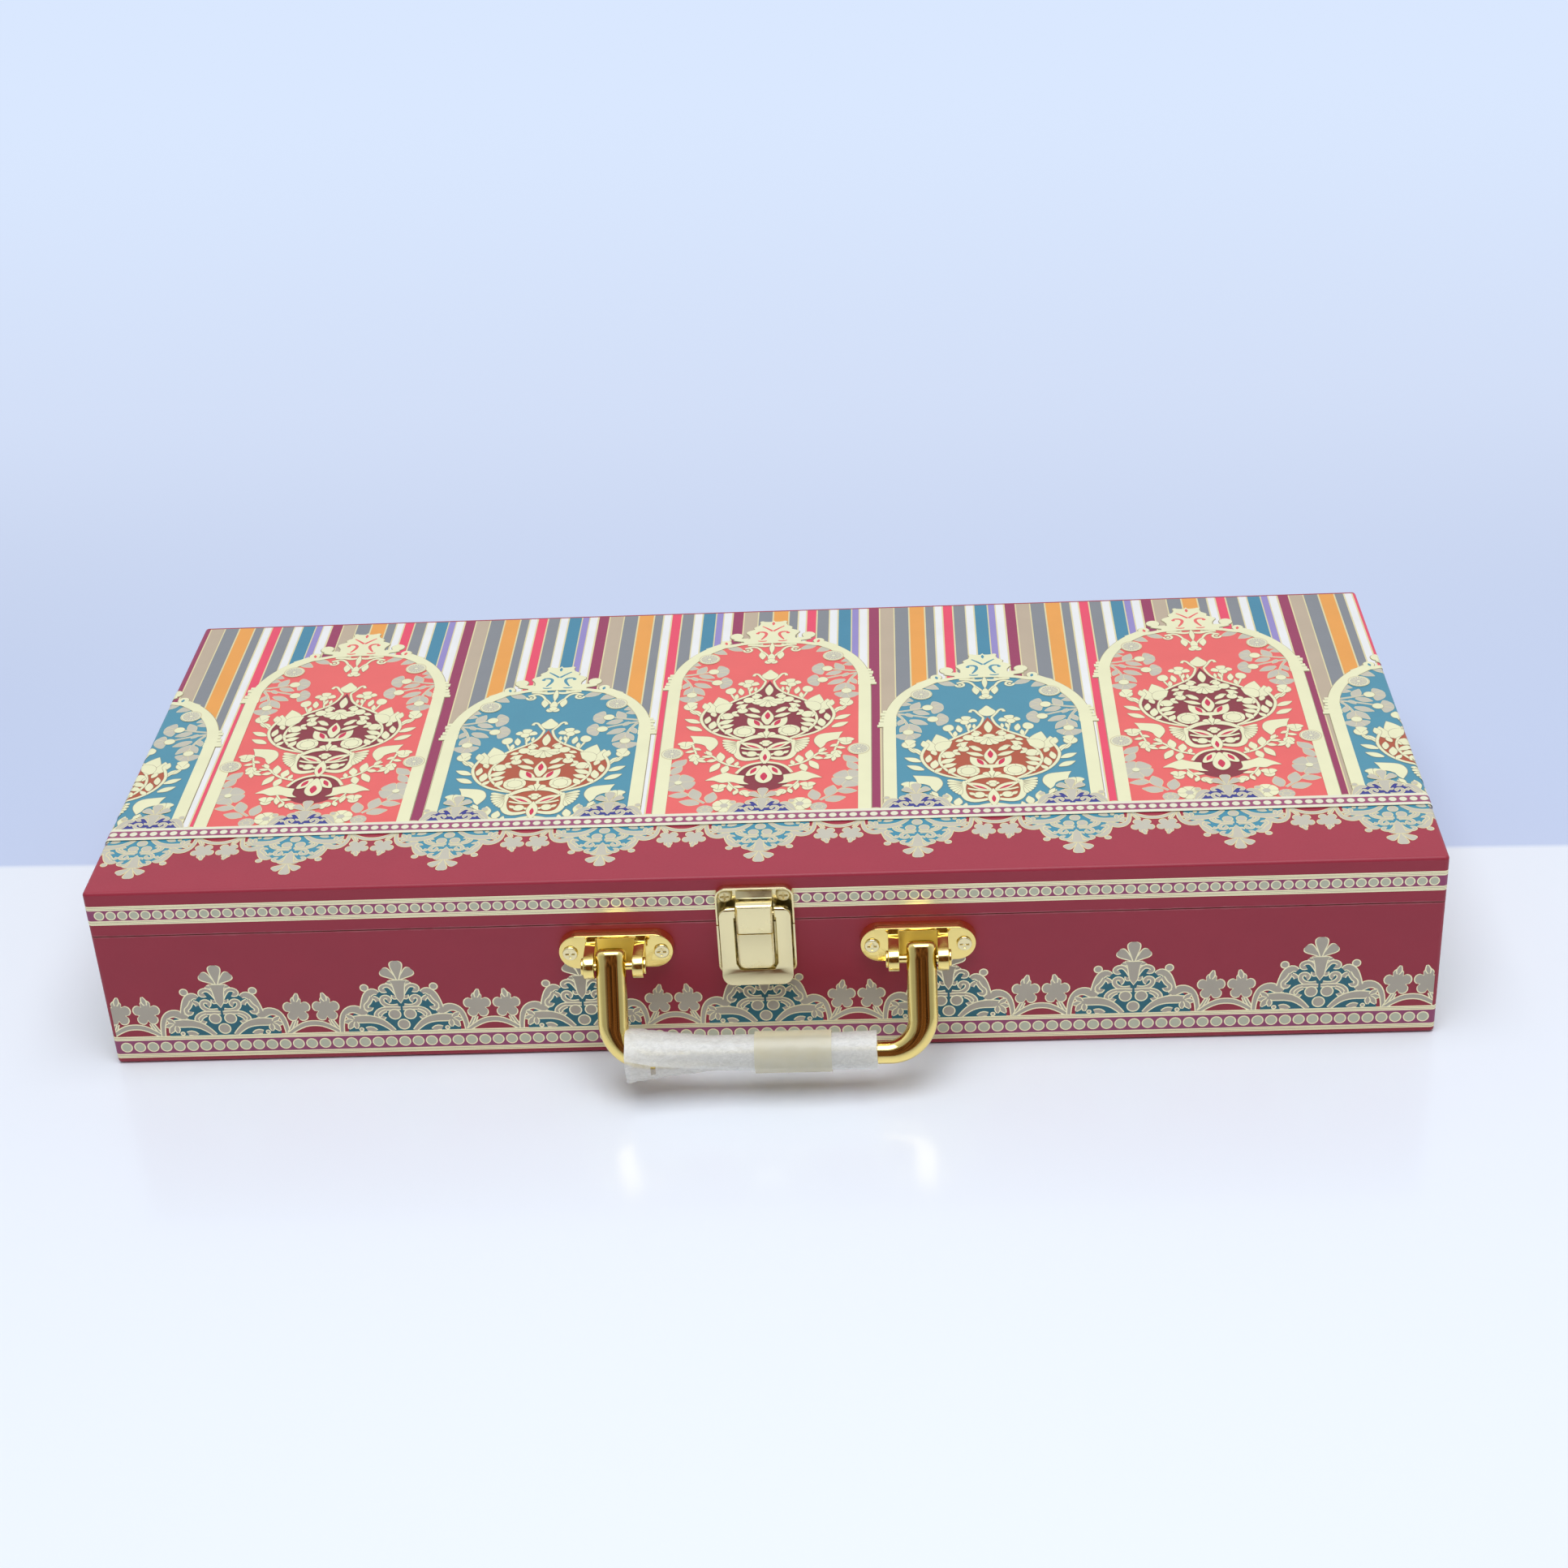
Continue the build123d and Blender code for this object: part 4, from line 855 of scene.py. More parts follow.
def flat_mesh(shapes, swell):
    """Bmesh of the shapes, every edge pushed out by swell. A stroke climbs a sixteenth of a
    hair at each of its points, so that it doesn't share a plane with itself."""
    brush = bpy.data.curves.new("brush", "CURVE")
    brush.dimensions = "3D"
    brush.extrude = 1.0
    brush.twist_mode = "Z_UP"
    brush.resolution_u = 3
    fills = {}
    flat = bmesh.new()
    for (kind, points), order in zip(shapes, printing_order(shapes)):
        height = hair * order
        if kind == "dot":
            x, y, radius = points[0]
            bmesh.ops.create_circle(
                flat, cap_ends=True, segments=10 if radius < 1 else 18, radius=radius + swell,
                matrix=Matrix.Translation((x, y, height)),
            )
            continue
        if kind == "stroke":
            line = brush.splines.new("NURBS")
            places = [(x, y, height + i * hair / 16, 1) for i, (x, y, w) in enumerate(points)]
        else:
            fill = fills.get(height)
            if fill is None:
                fill = fills[height] = bpy.data.curves.new("fill", "CURVE")
                fill.dimensions = "2D"
                fill.fill_mode = "BOTH"
                fill.resolution_u = 4
            line = fill.splines.new("NURBS" if kind == "blob" else "POLY")
            mid_x = sum(p[0] for p in points) / len(points)
            mid_y = sum(p[1] for p in points) / len(points)
            places = []
            for x, y, w in points:
                reach = max(0.001, math.dist((x, y), (mid_x, mid_y)))
                grown = 1 + swell / reach
                places.append((mid_x + (x - mid_x) * grown, mid_y + (y - mid_y) * grown, 0, 1))
        line.points.add(len(points) - 1)
        line.points.foreach_set("co", [c for place in places for c in place])
        if kind == "stroke":
            line.points.foreach_set("radius", [w + swell for x, y, w in points])
            line.points.foreach_set("tilt", [math.pi / 2] * len(points))
            line.order_u = min(3, len(points))
            line.use_endpoint_u = True
        else:
            line.use_cyclic_u = True
            line.order_u = 3
    curves = [(0, brush)] if brush.splines else []
    for height, curve in curves + list(fills.items()):
        holder = bpy.data.objects.new("holder", curve)
        bpy.context.scene.collection.objects.link(holder)
        graph = bpy.context.evaluated_depsgraph_get()
        mesh = bpy.data.meshes.new_from_object(holder.evaluated_get(graph))
        mesh.transform(Matrix.Translation((0, 0, height)))
        flat.from_mesh(mesh)
        bpy.data.objects.remove(holder)
        bpy.data.meshes.remove(mesh)
        bpy.data.curves.remove(curve)
    bmesh.ops.dissolve_degenerate(flat, dist=0.001, edges=flat.edges)
    flat.normal_update()
    bmesh.ops.reverse_faces(flat, faces=[f for f in flat.faces if f.normal.z < 0])
    return flat


def trimmed(flat, planes):
    """Cuts away what lies beyond each plane, given as a point and an outward normal."""
    for point, outward in planes:
        bmesh.ops.bisect_plane(
            flat, geom=flat.verts[:] + flat.edges[:] + flat.faces[:], dist=1e-5,
            plane_co=point, plane_no=outward, clear_outer=True,
        )


def thickened(flat, thick):
    """Gives a flat ink its thickness, upwards, as a closed skin."""
    grown = bmesh.ops.extrude_face_region(flat, geom=flat.faces[:])
    raised = [v for v in grown["geom"] if isinstance(v, bmesh.types.BMVert)]
    bmesh.ops.translate(flat, vec=(0, 0, thick), verts=raised)


# Millimetres. The foot of the arches and of the lace lie this far from the lid's back edge.
lid_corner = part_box("lid_print_wrap")[1] / MM
half_length = lid_corner.x
half_depth = lid_corner.y
lid_top = lid_corner.z
hair = 0.0014  # height between two shapes of one ink
skin_share = 0.9  # thickness of an ink, as a share of the ink step
fold_radius = 1.2
corner_radius = 1.5
overrun = 6  # print beyond half the length, which is folded down or trimmed
arch_foot = 155.4
lace_foot = 162.3


def folded(flat):
    """Bends the ends of a sheet that lies on the lid down over the two short sides.
    The sheet is measured in x along the unfolded paper, in y and in height over the paper."""
    flat_half = half_length - fold_radius
    quarter = fold_radius * math.pi / 2
    for side in (-1, 1):
        for share in (0, 0.33, 0.66, 1):
            bmesh.ops.bisect_plane(
                flat, geom=flat.verts[:] + flat.edges[:] + flat.faces[:], dist=1e-5,
                plane_co=(side * (flat_half + share * quarter), 0, 0), plane_no=(1, 0, 0),
            )
    for vert in flat.verts:
        over = abs(vert.co.x) - flat_half
        lift = vert.co.z
        if over <= 0:
            vert.co.z = lid_top + lift
            continue
        angle = min(over, quarter) / fold_radius
        side = math.copysign(1, vert.co.x)
        vert.co.x = side * (flat_half + (fold_radius + lift) * math.sin(angle))
        drop = max(0, over - quarter)
        vert.co.z = lid_top - fold_radius + (fold_radius + lift) * math.cos(angle) - drop


def lid_sheet(name, shapes, level, material, swell=0.0, high=None, low=None):
    """Prints shapes on the lid's top, measured up from the arches' foot towards the back.
    The level counts ink steps up from the paper, swell widens the shapes, and they end at
    high and low."""
    step = bpy.context.scene.jar_print_sizes.ink_step / MM
    foot_y = half_depth - arch_foot
    side_drop, back_margin = 3.6, 1.6
    reach = half_length - fold_radius + fold_radius * math.pi / 2 + side_drop
    high = arch_foot - back_margin if high is None else high
    low = -arch_foot if low is None else low
    flat = flat_mesh(shapes, swell)
    trimmed(flat, [
        ((reach, 0, 0), (1, 0, 0)), ((-reach, 0, 0), (-1, 0, 0)),
        ((0, high, 0), (0, 1, 0)), ((0, low, 0), (0, -1, 0)),
    ])
    thickened(flat, step * skin_share)
    bmesh.ops.translate(flat, vec=(0, foot_y, step * level), verts=flat.verts)
    folded(flat)
    new_piece(name, flat, material, "lid", smooth=False)


def wall_sheet(name, shapes_by_face, level, material, foot_z, body, swell=0.0, low=0.0, high=50.0):
    """Prints shapes on the four walls, measured up from foot_z, with a level, swell and
    limits as on the lid."""
    step = bpy.context.scene.jar_print_sizes.ink_step / MM
    whole = bmesh.new()
    for turn, (half_width, out, shapes) in shapes_by_face.items():
        flat = flat_mesh(shapes, swell)
        edge = half_width - corner_radius
        trimmed(flat, [
            ((edge, 0, 0), (1, 0, 0)), ((-edge, 0, 0), (-1, 0, 0)),
            ((0, low, 0), (0, -1, 0)), ((0, high, 0), (0, 1, 0)),
        ])
        thickened(flat, step * skin_share)
        stand = (
            Matrix.Rotation(math.radians(turn), 4, "Z")
            @ Matrix.Translation((0, -out - step * level, foot_z))
            @ Matrix.Rotation(math.pi / 2, 4, "X")
        )
        bmesh.ops.transform(flat, matrix=stand, verts=flat.verts)
        mesh = bpy.data.meshes.new("wall")
        flat.to_mesh(mesh)
        flat.free()
        whole.from_mesh(mesh)
        bpy.data.meshes.remove(mesh)
    new_piece(name, whole, material, body, smooth=False)


def outlined(printer, name, shapes, level, edge, fill, swell, **limits):
    """Prints each shape over its own outline, one shape after the other, as a brush would."""
    lift = hair / 2 / (bpy.context.scene.jar_print_sizes.ink_step / MM)
    printer(name + "_outline", shapes, level, edge, swell=swell, **limits)
    printer(name, shapes, level + lift, fill, **limits)


def hoop(name, low, high, level, material, body):
    """A printed band that runs round the four walls and their corners."""
    step = bpy.context.scene.jar_print_sizes.ink_step / MM
    lift = step * (level + skin_share)
    ring = bmesh.new()
    bmesh.ops.create_cube(ring, size=1)
    bmesh.ops.scale(
        ring, vec=(2 * (half_length + lift), 2 * (half_depth + lift), high - low), verts=ring.verts
    )
    bmesh.ops.translate(ring, vec=(0, 0, (high + low) / 2), verts=ring.verts)
    uprights = [e for e in ring.edges if abs(e.verts[0].co.z - e.verts[1].co.z) > 0.1]
    bmesh.ops.bevel(
        ring, geom=uprights, offset=corner_radius + lift, affect="EDGES", segments=5,
        profile=0.5, material=-1,
    )
    ring.normal_update()
    bmesh.ops.delete(ring, geom=[f for f in ring.faces if abs(f.normal.z) > 0.5], context="FACES")
    bmesh.ops.solidify(ring, geom=ring.faces[:], thickness=step * skin_share)
    bmesh.ops.recalc_face_normals(ring, faces=ring.faces)
    new_piece(name, ring, material, body)


def four_walls(front, side):
    """Shapes for the four walls, keyed by the wall's turn from the front."""
    return {
        0: (half_length, half_depth, front),
        90: (half_depth, half_length, side),
        180: (half_length, half_depth, front),
        270: (half_depth, half_length, side),
    }


def run_of(shapes, pitch, reach):
    """Shapes repeated along x at a pitch, as far as reach on either side."""
    count = math.ceil(reach / pitch) + 1
    result = []
    for i in range(-count, count + 1):
        x = i * pitch
        if abs(x) < reach + pitch / 2:
            result += moved(shapes, dx=x)
    return result


def beads(pitch, radius, reach):
    """A row of round beads, with one at the middle."""
    count = int((reach - radius) / pitch)
    return [dot(i * pitch, 0, radius) for i in range(-count, count + 1)]


def inks():
    """The printed colours, each as a finish."""
    tones = bpy.context.scene.jar_print_colours
    plain = ("coral", "teal", "deep_teal", "wall_teal", "plum", "claret", "rust", "ruby", "navy")
    made = {name: printed_ink("art_paper_" + name, getattr(tones, name)) for name in plain}
    for name in ("cream", "lace", "wall_lace", "shade", "bead", "bead_grey"):
        made[name] = printed_ink("pearl_ink_" + name, getattr(tones, name), 0.4)
    made["gilt"] = printed_ink("gilt_foil", tones.gilt, 0.3, 0.35)
    made["foil"] = printed_ink("pale_gilt_foil", tones.pale_gilt, 0.36, 0.85)
    return made


class JARBOX_OT_case(bpy.types.Operator):
    """Boards, linings and the covering paper of the lid and base"""
    bl_idname = "jarbox.case"
    bl_label = "Case"

    def execute(self, context):
        tones = context.scene.jar_print_colours
        board = pressed_board("fibreboard", linear("A98763"))
        ends = ("_board", "_wall", "_rail")
        dress([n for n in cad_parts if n.endswith(ends) and n != "insert_board"], board)
        for part in ("lid", "base"):
            wrap = part + "_print_wrap"
            dress([wrap], covering_paper(part + "_art_paper", tones.crimson, *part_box(wrap)))
        lining = pressed_board("cream_lining_paper", linear("EFE6D2"))
        dress(["base_lining_paper", "lid_lining_paper"], lining)
        dress(["base_underside_sheet"], pressed_board("kraft_paper", linear("B08F66")))
        covered = pressed_board("covered_greyboard", linear("8C2A3C"))
        dress(["insert_board", "insert_rests"], covered)
        return {"FINISHED"}


class JARBOX_OT_lid_print(bpy.types.Operator):
    """Stripes, arches, flowers, bands and lace printed on the lid"""
    bl_idname = "jarbox.lid_print"
    bl_label = "Lid print"

    def execute(self, context):
        sizes = context.scene.jar_print_sizes
        ink = inks()
        pitch = sizes.arch_pitch / MM
        drop = sizes.arch_drop / MM
        reach = half_length + overrun
        self.stripes(context, ink, reach)
        tall = [(2 * i * pitch, 0) for i in (-1, 0, 1)]
        short = [((2 * i + 1) * pitch, -drop) for i in (-2, -1, 0, 1)]
        every = tall + short
        field, posts = self.arch()
        crown_body, holes = crown()
        ground, flowers, ruby, sides = medallion()
        buds, sprays = spandrels()
        upper_grey, upper_ring = rosette(23.8, 114.4, 3.8)
        post_grey, post_ring = rosette(33.7, 42.2, 3.8)

        def at(places, shapes):
            """Shapes repeated at each of the arches' places."""
            return [shape for x, dy in places for shape in moved(shapes, x, dy)]

        frames = posts + crown_body
        rounds = at(every, both_sides(upper_grey)) + at(tall, both_sides(post_grey))
        rings = at(every, both_sides(upper_ring)) + at(tall, both_sides(post_ring))
        grey, cream = (ink["gilt"], ink["lace"]), (ink["shade"], ink["cream"])
        lid_sheet("lid_arch_shadows", at(every, frames), 3, ink["shade"], 0.3, low=0)
        lid_sheet("lid_coral_grounds", at(tall, [field]), 4, ink["coral"], low=0)
        lid_sheet("lid_teal_grounds", at(short, [field]), 4, ink["teal"], low=0)
        lid_sheet("lid_claret_grounds", at(tall, ground), 5, ink["claret"], low=0)
        lid_sheet("lid_rust_grounds", at(short, ground), 5, ink["rust"], low=0)
        outlined(lid_sheet, "lid_grey_sprays", at(every, sprays), 6, *grey, 0.2, low=0)
        outlined(lid_sheet, "lid_grey_flowers", at(tall, sides), 6, *grey, 0.2, low=0)
        tree = at(every, flowers + pendant() + buds)
        outlined(lid_sheet, "lid_cream_flowers", tree, 9, *cream, 0.17, low=0)
        lid_sheet("lid_ruby_petals", at(every, ruby), 13.5, ink["ruby"], low=0)
        lid_sheet("lid_arches", at(every, frames), 13.5, ink["cream"], low=0)
        lid_sheet("lid_crown_openings_coral", at(tall, holes), 14.7, ink["coral"], low=0)
        lid_sheet("lid_crown_openings_teal", at(short, holes), 14.7, ink["teal"], low=0)
        lid_sheet("lid_rosette_outlines", rounds, 14.7, ink["gilt"], 0.3, low=0)
        lid_sheet("lid_rosettes", rounds, 15.7, ink["lace"], low=0)
        lid_sheet("lid_rosette_ribs", rings, 16.7, ink["cream"], low=0)
        outlined(lid_sheet, "lid_foot_flowers", at(tall, foot_flowers()), 13.5, *cream, 0.2, low=0)
        hearts = at(tall, both_sides([dot(30.2, 21.6, 1.3)]))
        lid_sheet("lid_flower_hearts", hearts, 14.7, ink["cream"], low=0)
        hearts = at(tall, both_sides([dot(13.2, 5.0, 1.4)]))
        lid_sheet("lid_grey_hearts", hearts, 15.7, ink["lace"], low=0)
        self.lace(context, ink, reach)
        self.band(ink, reach)
        return {"FINISHED"}

    def arch(self):
        """Ground and posts of an arch: straight posts, stacked capitals and a bow that stops
        at the crown."""
        inner, spring, apex, half, crown_side = 33.5, 93.0, 128.6, 2.3, 19
        turns = [math.pi * i / 28 for i in range(29)]
        head = [(inner * math.cos(a), spring + (apex - spring) * math.sin(a)) for a in turns]
        field = area((inner, 0), *head, (-inner, 0))
        post = inner + half
        rise = apex - spring + half
        bow = [
            (post * math.cos(a), spring + rise * math.sin(a), half * 0.92)
            for a in turns if post * math.cos(a) > crown_side
        ]
        bars = [stroke((post, -2, half), (post, 40, half), (post, spring - 2, half), *bow[1:])]
        for height, reach, thick in (
            (102.0, 3.4, 0.8), (100.0, 4.2, 1.0), (97.7, 3.8, 1.0), (95.4, 4.5, 1.0),
            (93.2, 4.9, 0.95), (91.4, 5.4, 0.8),
        ):
            bars.append(stroke((post - 2.6, height, thick), (post - 1 + reach, height, thick)))
        return field, both_sides(bars)

    def stripes(self, context, ink, reach):
        """Gilt ground, and on it the stripes behind the arches, with thin gaps between them."""
        tones = context.scene.jar_stripe_colours
        period = context.scene.jar_print_sizes.stripe_pitch / MM
        order = (
            ("taupe", 2.75, 8.2), ("grey", 8.4, 14.0), ("orange", 14.3, 20.2), ("grey", 20.5, 24.0),
            ("white", 24.3, 27.2), ("pink", 27.5, 31.3), ("grey", 31.6, 36.3),
            ("white", 36.5, 39.6), ("sea", 39.9, 45.0), ("lilac", 45.2, 48.0),
            ("white", 48.2, 51.4), ("maroon", 51.8, 56.0),
        )
        high, gap, sets = arch_foot - 1.8, 0.14, range(-1, 10)

        def bar(left, right):
            """A stripe from the arches' foot to the back."""
            return area((left, 0.0), (right, 0.0), (right, high), (left, high))

        lid_sheet("lid_stripe_lines", [bar(-reach, reach)], 1, ink["gilt"], low=0.0)
        for name in dict.fromkeys(entry[0] for entry in order):
            bars = []
            for i in sets:
                for tone, left, right in order:
                    x0 = -half_length + i * period + left
                    x1 = -half_length + i * period + right
                    if tone == name and x1 > -reach and x0 < reach:
                        bars.append(bar(x0 + gap, x1 - gap))
            material = printed_ink("art_paper_" + name, getattr(tones, name))
            lid_sheet("lid_stripes_" + name, bars, 2, material, low=0.0)

    def lace(self, context, ink, reach):
        """Lace that hangs over the front edge, and its points behind the arches' foot."""
        pitch = context.scene.jar_print_sizes.top_lace_pitch / MM
        base_pitch = context.scene.jar_print_sizes.base_lace_pitch / MM
        scale = pitch / base_pitch
        ground, threads = lace_point()
        foot = arch_foot - lace_foot
        paint = (ink["gilt"], ink["lace"])
        crown_drop, hang = -8.6, -40
        standing = moved(run_of(moved(ground, scale=scale), pitch, reach), dy=crown_drop)
        lid_sheet("lid_crown_lace_ground", standing, 17.5, ink["navy"], low=0)
        standing = moved(run_of(moved(threads, scale=scale), pitch, reach), dy=crown_drop)
        outlined(lid_sheet, "lid_crown_lace", standing, 18.6, *paint, 0.26, low=0)
        whole = threads + moved(lace_leaves(), dx=base_pitch / 2)
        hanging = moved(run_of(moved(ground, scale=scale), pitch, reach), turn=math.pi, dy=foot)
        lid_sheet("lid_lace_ground", hanging, 1, ink["deep_teal"], high=foot, low=hang)
        hanging = moved(run_of(moved(whole, scale=scale), pitch, reach), turn=math.pi, dy=foot)
        outlined(lid_sheet, "lid_lace", hanging, 2, *paint, 0.34, high=foot, low=hang)

    def band(self, ink, reach):
        """Beads between two lines, along the arches' foot."""
        foot = arch_foot - lace_foot
        outer, line = 0.3, 1.35

        def strip(low, high):
            """A strip from end to end."""
            return [area((-reach, low), (reach, low), (reach, high), (-reach, high))]

        row = moved(beads(3.54, 1.28, reach), dy=foot / 2)
        lid_sheet("lid_band_lines", strip(foot - outer, outer), 22, ink["bead"], high=5)
        lid_sheet("lid_band_ground", strip(foot + line, -line), 23, ink["plum"])
        lid_sheet("lid_band_bead_outlines", row, 24, ink["shade"], 0.18)
        lid_sheet("lid_band_beads", row, 25, ink["bead"])


class JARBOX_OT_edge_print(bpy.types.Operator):
    """Bead bands round the lid and base, and the lace that stands on the base's band"""
    bl_idname = "jarbox.edge_print"
    bl_label = "Edge print"

    def execute(self, context):
        ink = inks()
        pitch = context.scene.jar_print_sizes.base_lace_pitch / MM
        line_shift, line_half, under_row = 0.28, 0.07, -5
        for part, low, high, line, bead_pitch, radius in (
            ("lid", 58.1, 65.7, 1.75, 4.0, 1.38), ("base", 2.4, 11.5, 1.8, 4.67, 1.7),
        ):
            hoop(part + "_edge_band", low, high, 1, ink["foil"], part)
            hoop(part + "_edge_band_ground", low + line, high - line, 2, ink["plum"], part)
            for side, middle in (("upper", high - line / 2), ("lower", low + line / 2)):
                for number, shift in enumerate((-line_shift, line_shift), start=1):
                    name, place = f"{part}_edge_line_{side}_{number}", middle + shift
                    hoop(name, place - line_half, place + line_half, 2, ink["shade"], part)
            row = beads(bead_pitch, radius, half_length - corner_radius)
            short_row = beads(bead_pitch, radius, half_depth - corner_radius)
            walls = four_walls(row, short_row)
            middle = (low + high) / 2
            wall_sheet(
                part + "_edge_bead_outlines", walls, 3, ink["foil"], middle, part, 0.4, under_row,
            )
            wall_sheet(
                part + "_edge_beads", walls, 4, ink["bead_grey"], middle, part, 0.0, under_row,
            )
        ground, threads = lace_point()
        whole = threads + moved(lace_leaves(), dx=pitch / 2)
        grounds = four_walls(run_of(ground, pitch, half_length), run_of(ground, pitch, half_depth))
        lace = four_walls(run_of(whole, pitch, half_length), run_of(whole, pitch, half_depth))
        place = {"foot_z": 11.4, "body": "base"}
        wall_sheet("base_lace_ground", grounds, 1, ink["wall_teal"], **place)
        # The walls' lace ink is darkened as painted shade.
        outlined(wall_sheet, "base_lace", lace, 2, ink["foil"], ink["wall_lace"], 0.42, **place)
        return {"FINISHED"}


# The handle's own plane: x along the grip, y up the legs and z out of the plane.
tilt = math.radians(24)
pivot = Vector((1.9, -110.4, 44.6))
handle_place = Matrix.Translation(pivot) @ Matrix((
    (1, 0, 0, 0), (0, math.sin(tilt), -math.cos(tilt), 0), (0, math.cos(tilt), math.sin(tilt), 0),
    (0, 0, 0, 1),
))


def squared_ring(shape, half_x, half_y, power, place, segments=40):
    """A closed ring of points between a circle and a rectangle."""
    made = bmesh.ops.create_circle(shape, segments=segments, radius=1)["verts"]
    for vert in made:
        angle = math.atan2(vert.co.y, vert.co.x)
        c, s = math.cos(angle), math.sin(angle)
        vert.co.x = half_x * math.copysign(abs(c) ** (2 / power), c)
        vert.co.y = half_y * math.copysign(abs(s) ** (2 / power), s)
    bmesh.ops.transform(shape, matrix=place, verts=made)
    return made


class JARBOX_OT_handle(bpy.types.Operator):
    """Bent gilt bar, its two brackets and pins"""
    bl_idname = "jarbox.handle"
    bl_label = "Handle"

    def execute(self, context):
        tones = context.scene.jar_metal_colours
        bright = gilt_plating("polished_gilt_plating", tones.bright_gilt, 0.07, 0.5)
        plate = gilt_plating("bracket_gilt_plating", tones.bright_gilt, 0.1, 0.5)
        screw = gilt_plating("screw_gilt_plating", tones.satin_gilt, 0.16, 0.6)
        self.bar(bright)
        for side in ("left", "right"):
            softened(f"handle_{side}_bracket", plate, "base", 0.35)
        softened("handle_pins", bright, "base", 0.25)
        softened("bracket_screws", screw, "base", 0.12, 2)
        zinc = gilt_plating("zinc_plating", tones.zinc, 0.3, 0.4)
        dress(["bracket_nuts"], zinc)
        return {"FINISHED"}

    def bar(self, material):
        """Bar from end to end through its sections: squarish flattened legs that turn
        rounder towards the grip. A section is x, y, turn, two half widths and a power."""
        leg_x, drop, radius, rise, round_end = 51.95, 31.6, 12.0, 5.8, 1.8
        half_x, half_y, power = 5.1, 4.0, 2.75
        stations = []
        for i in range(6):
            a = math.pi / 2 * i / 5
            inset = round_end * (1 - math.sin(a))
            y = rise - round_end * (1 - math.cos(a))
            stations.append((-leg_x, y, 0, half_x - inset, half_y - inset, power))
        for y in (0, -8, -15, radius - drop):
            stations.append((-leg_x, y, 0, half_x, half_y, power))
        for i in range(1, 17):
            share = i / 16
            turn = math.pi / 2 * share
            x = -leg_x + radius - radius * math.cos(turn)
            y = radius - drop - radius * math.sin(turn)
            narrowed = (half_x - 1.3 * share, half_y - 0.2 * share, power - 0.55 * share)
            stations.append((x, y, turn, *narrowed))
        for x in (-30, -15, 0):
            stations.append((x, -drop, math.pi / 2, 3.8, 3.8, 2.2))
        whole = stations + [(-x, y, math.pi - t, a, b, p) for x, y, t, a, b, p in stations[-2::-1]]
        shape = bmesh.new()
        last = None
        for x, y, turn, half_x, half_y, power in whole:
            along = Vector((math.sin(turn), -math.cos(turn), 0))
            across = Vector((-math.cos(turn), -math.sin(turn), 0))
            place = Matrix.Translation((x, y, 0)) @ Matrix((
                (across.x, 0, along.x, 0), (across.y, 0, along.y, 0), (0, 1, 0, 0), (0, 0, 0, 1),
            ))
            ring = squared_ring(shape, half_x, half_y, power, place)
            if last:
                rim_old = {e for v in last for e in v.link_edges if all(w in last for w in e.verts)}
                rim_new = {e for v in ring for e in v.link_edges if all(w in ring for w in e.verts)}
                bmesh.ops.bridge_loops(shape, edges=list(rim_old | rim_new))
            last = ring
        bmesh.ops.holes_fill(shape, edges=shape.edges[:], sides=0)
        bmesh.ops.recalc_face_normals(shape, faces=shape.faces)
        bmesh.ops.transform(shape, matrix=handle_place, verts=shape.verts)
        piece = new_piece("handle_bar_polished", shape, material, "handle")
        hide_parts("handle_bar")


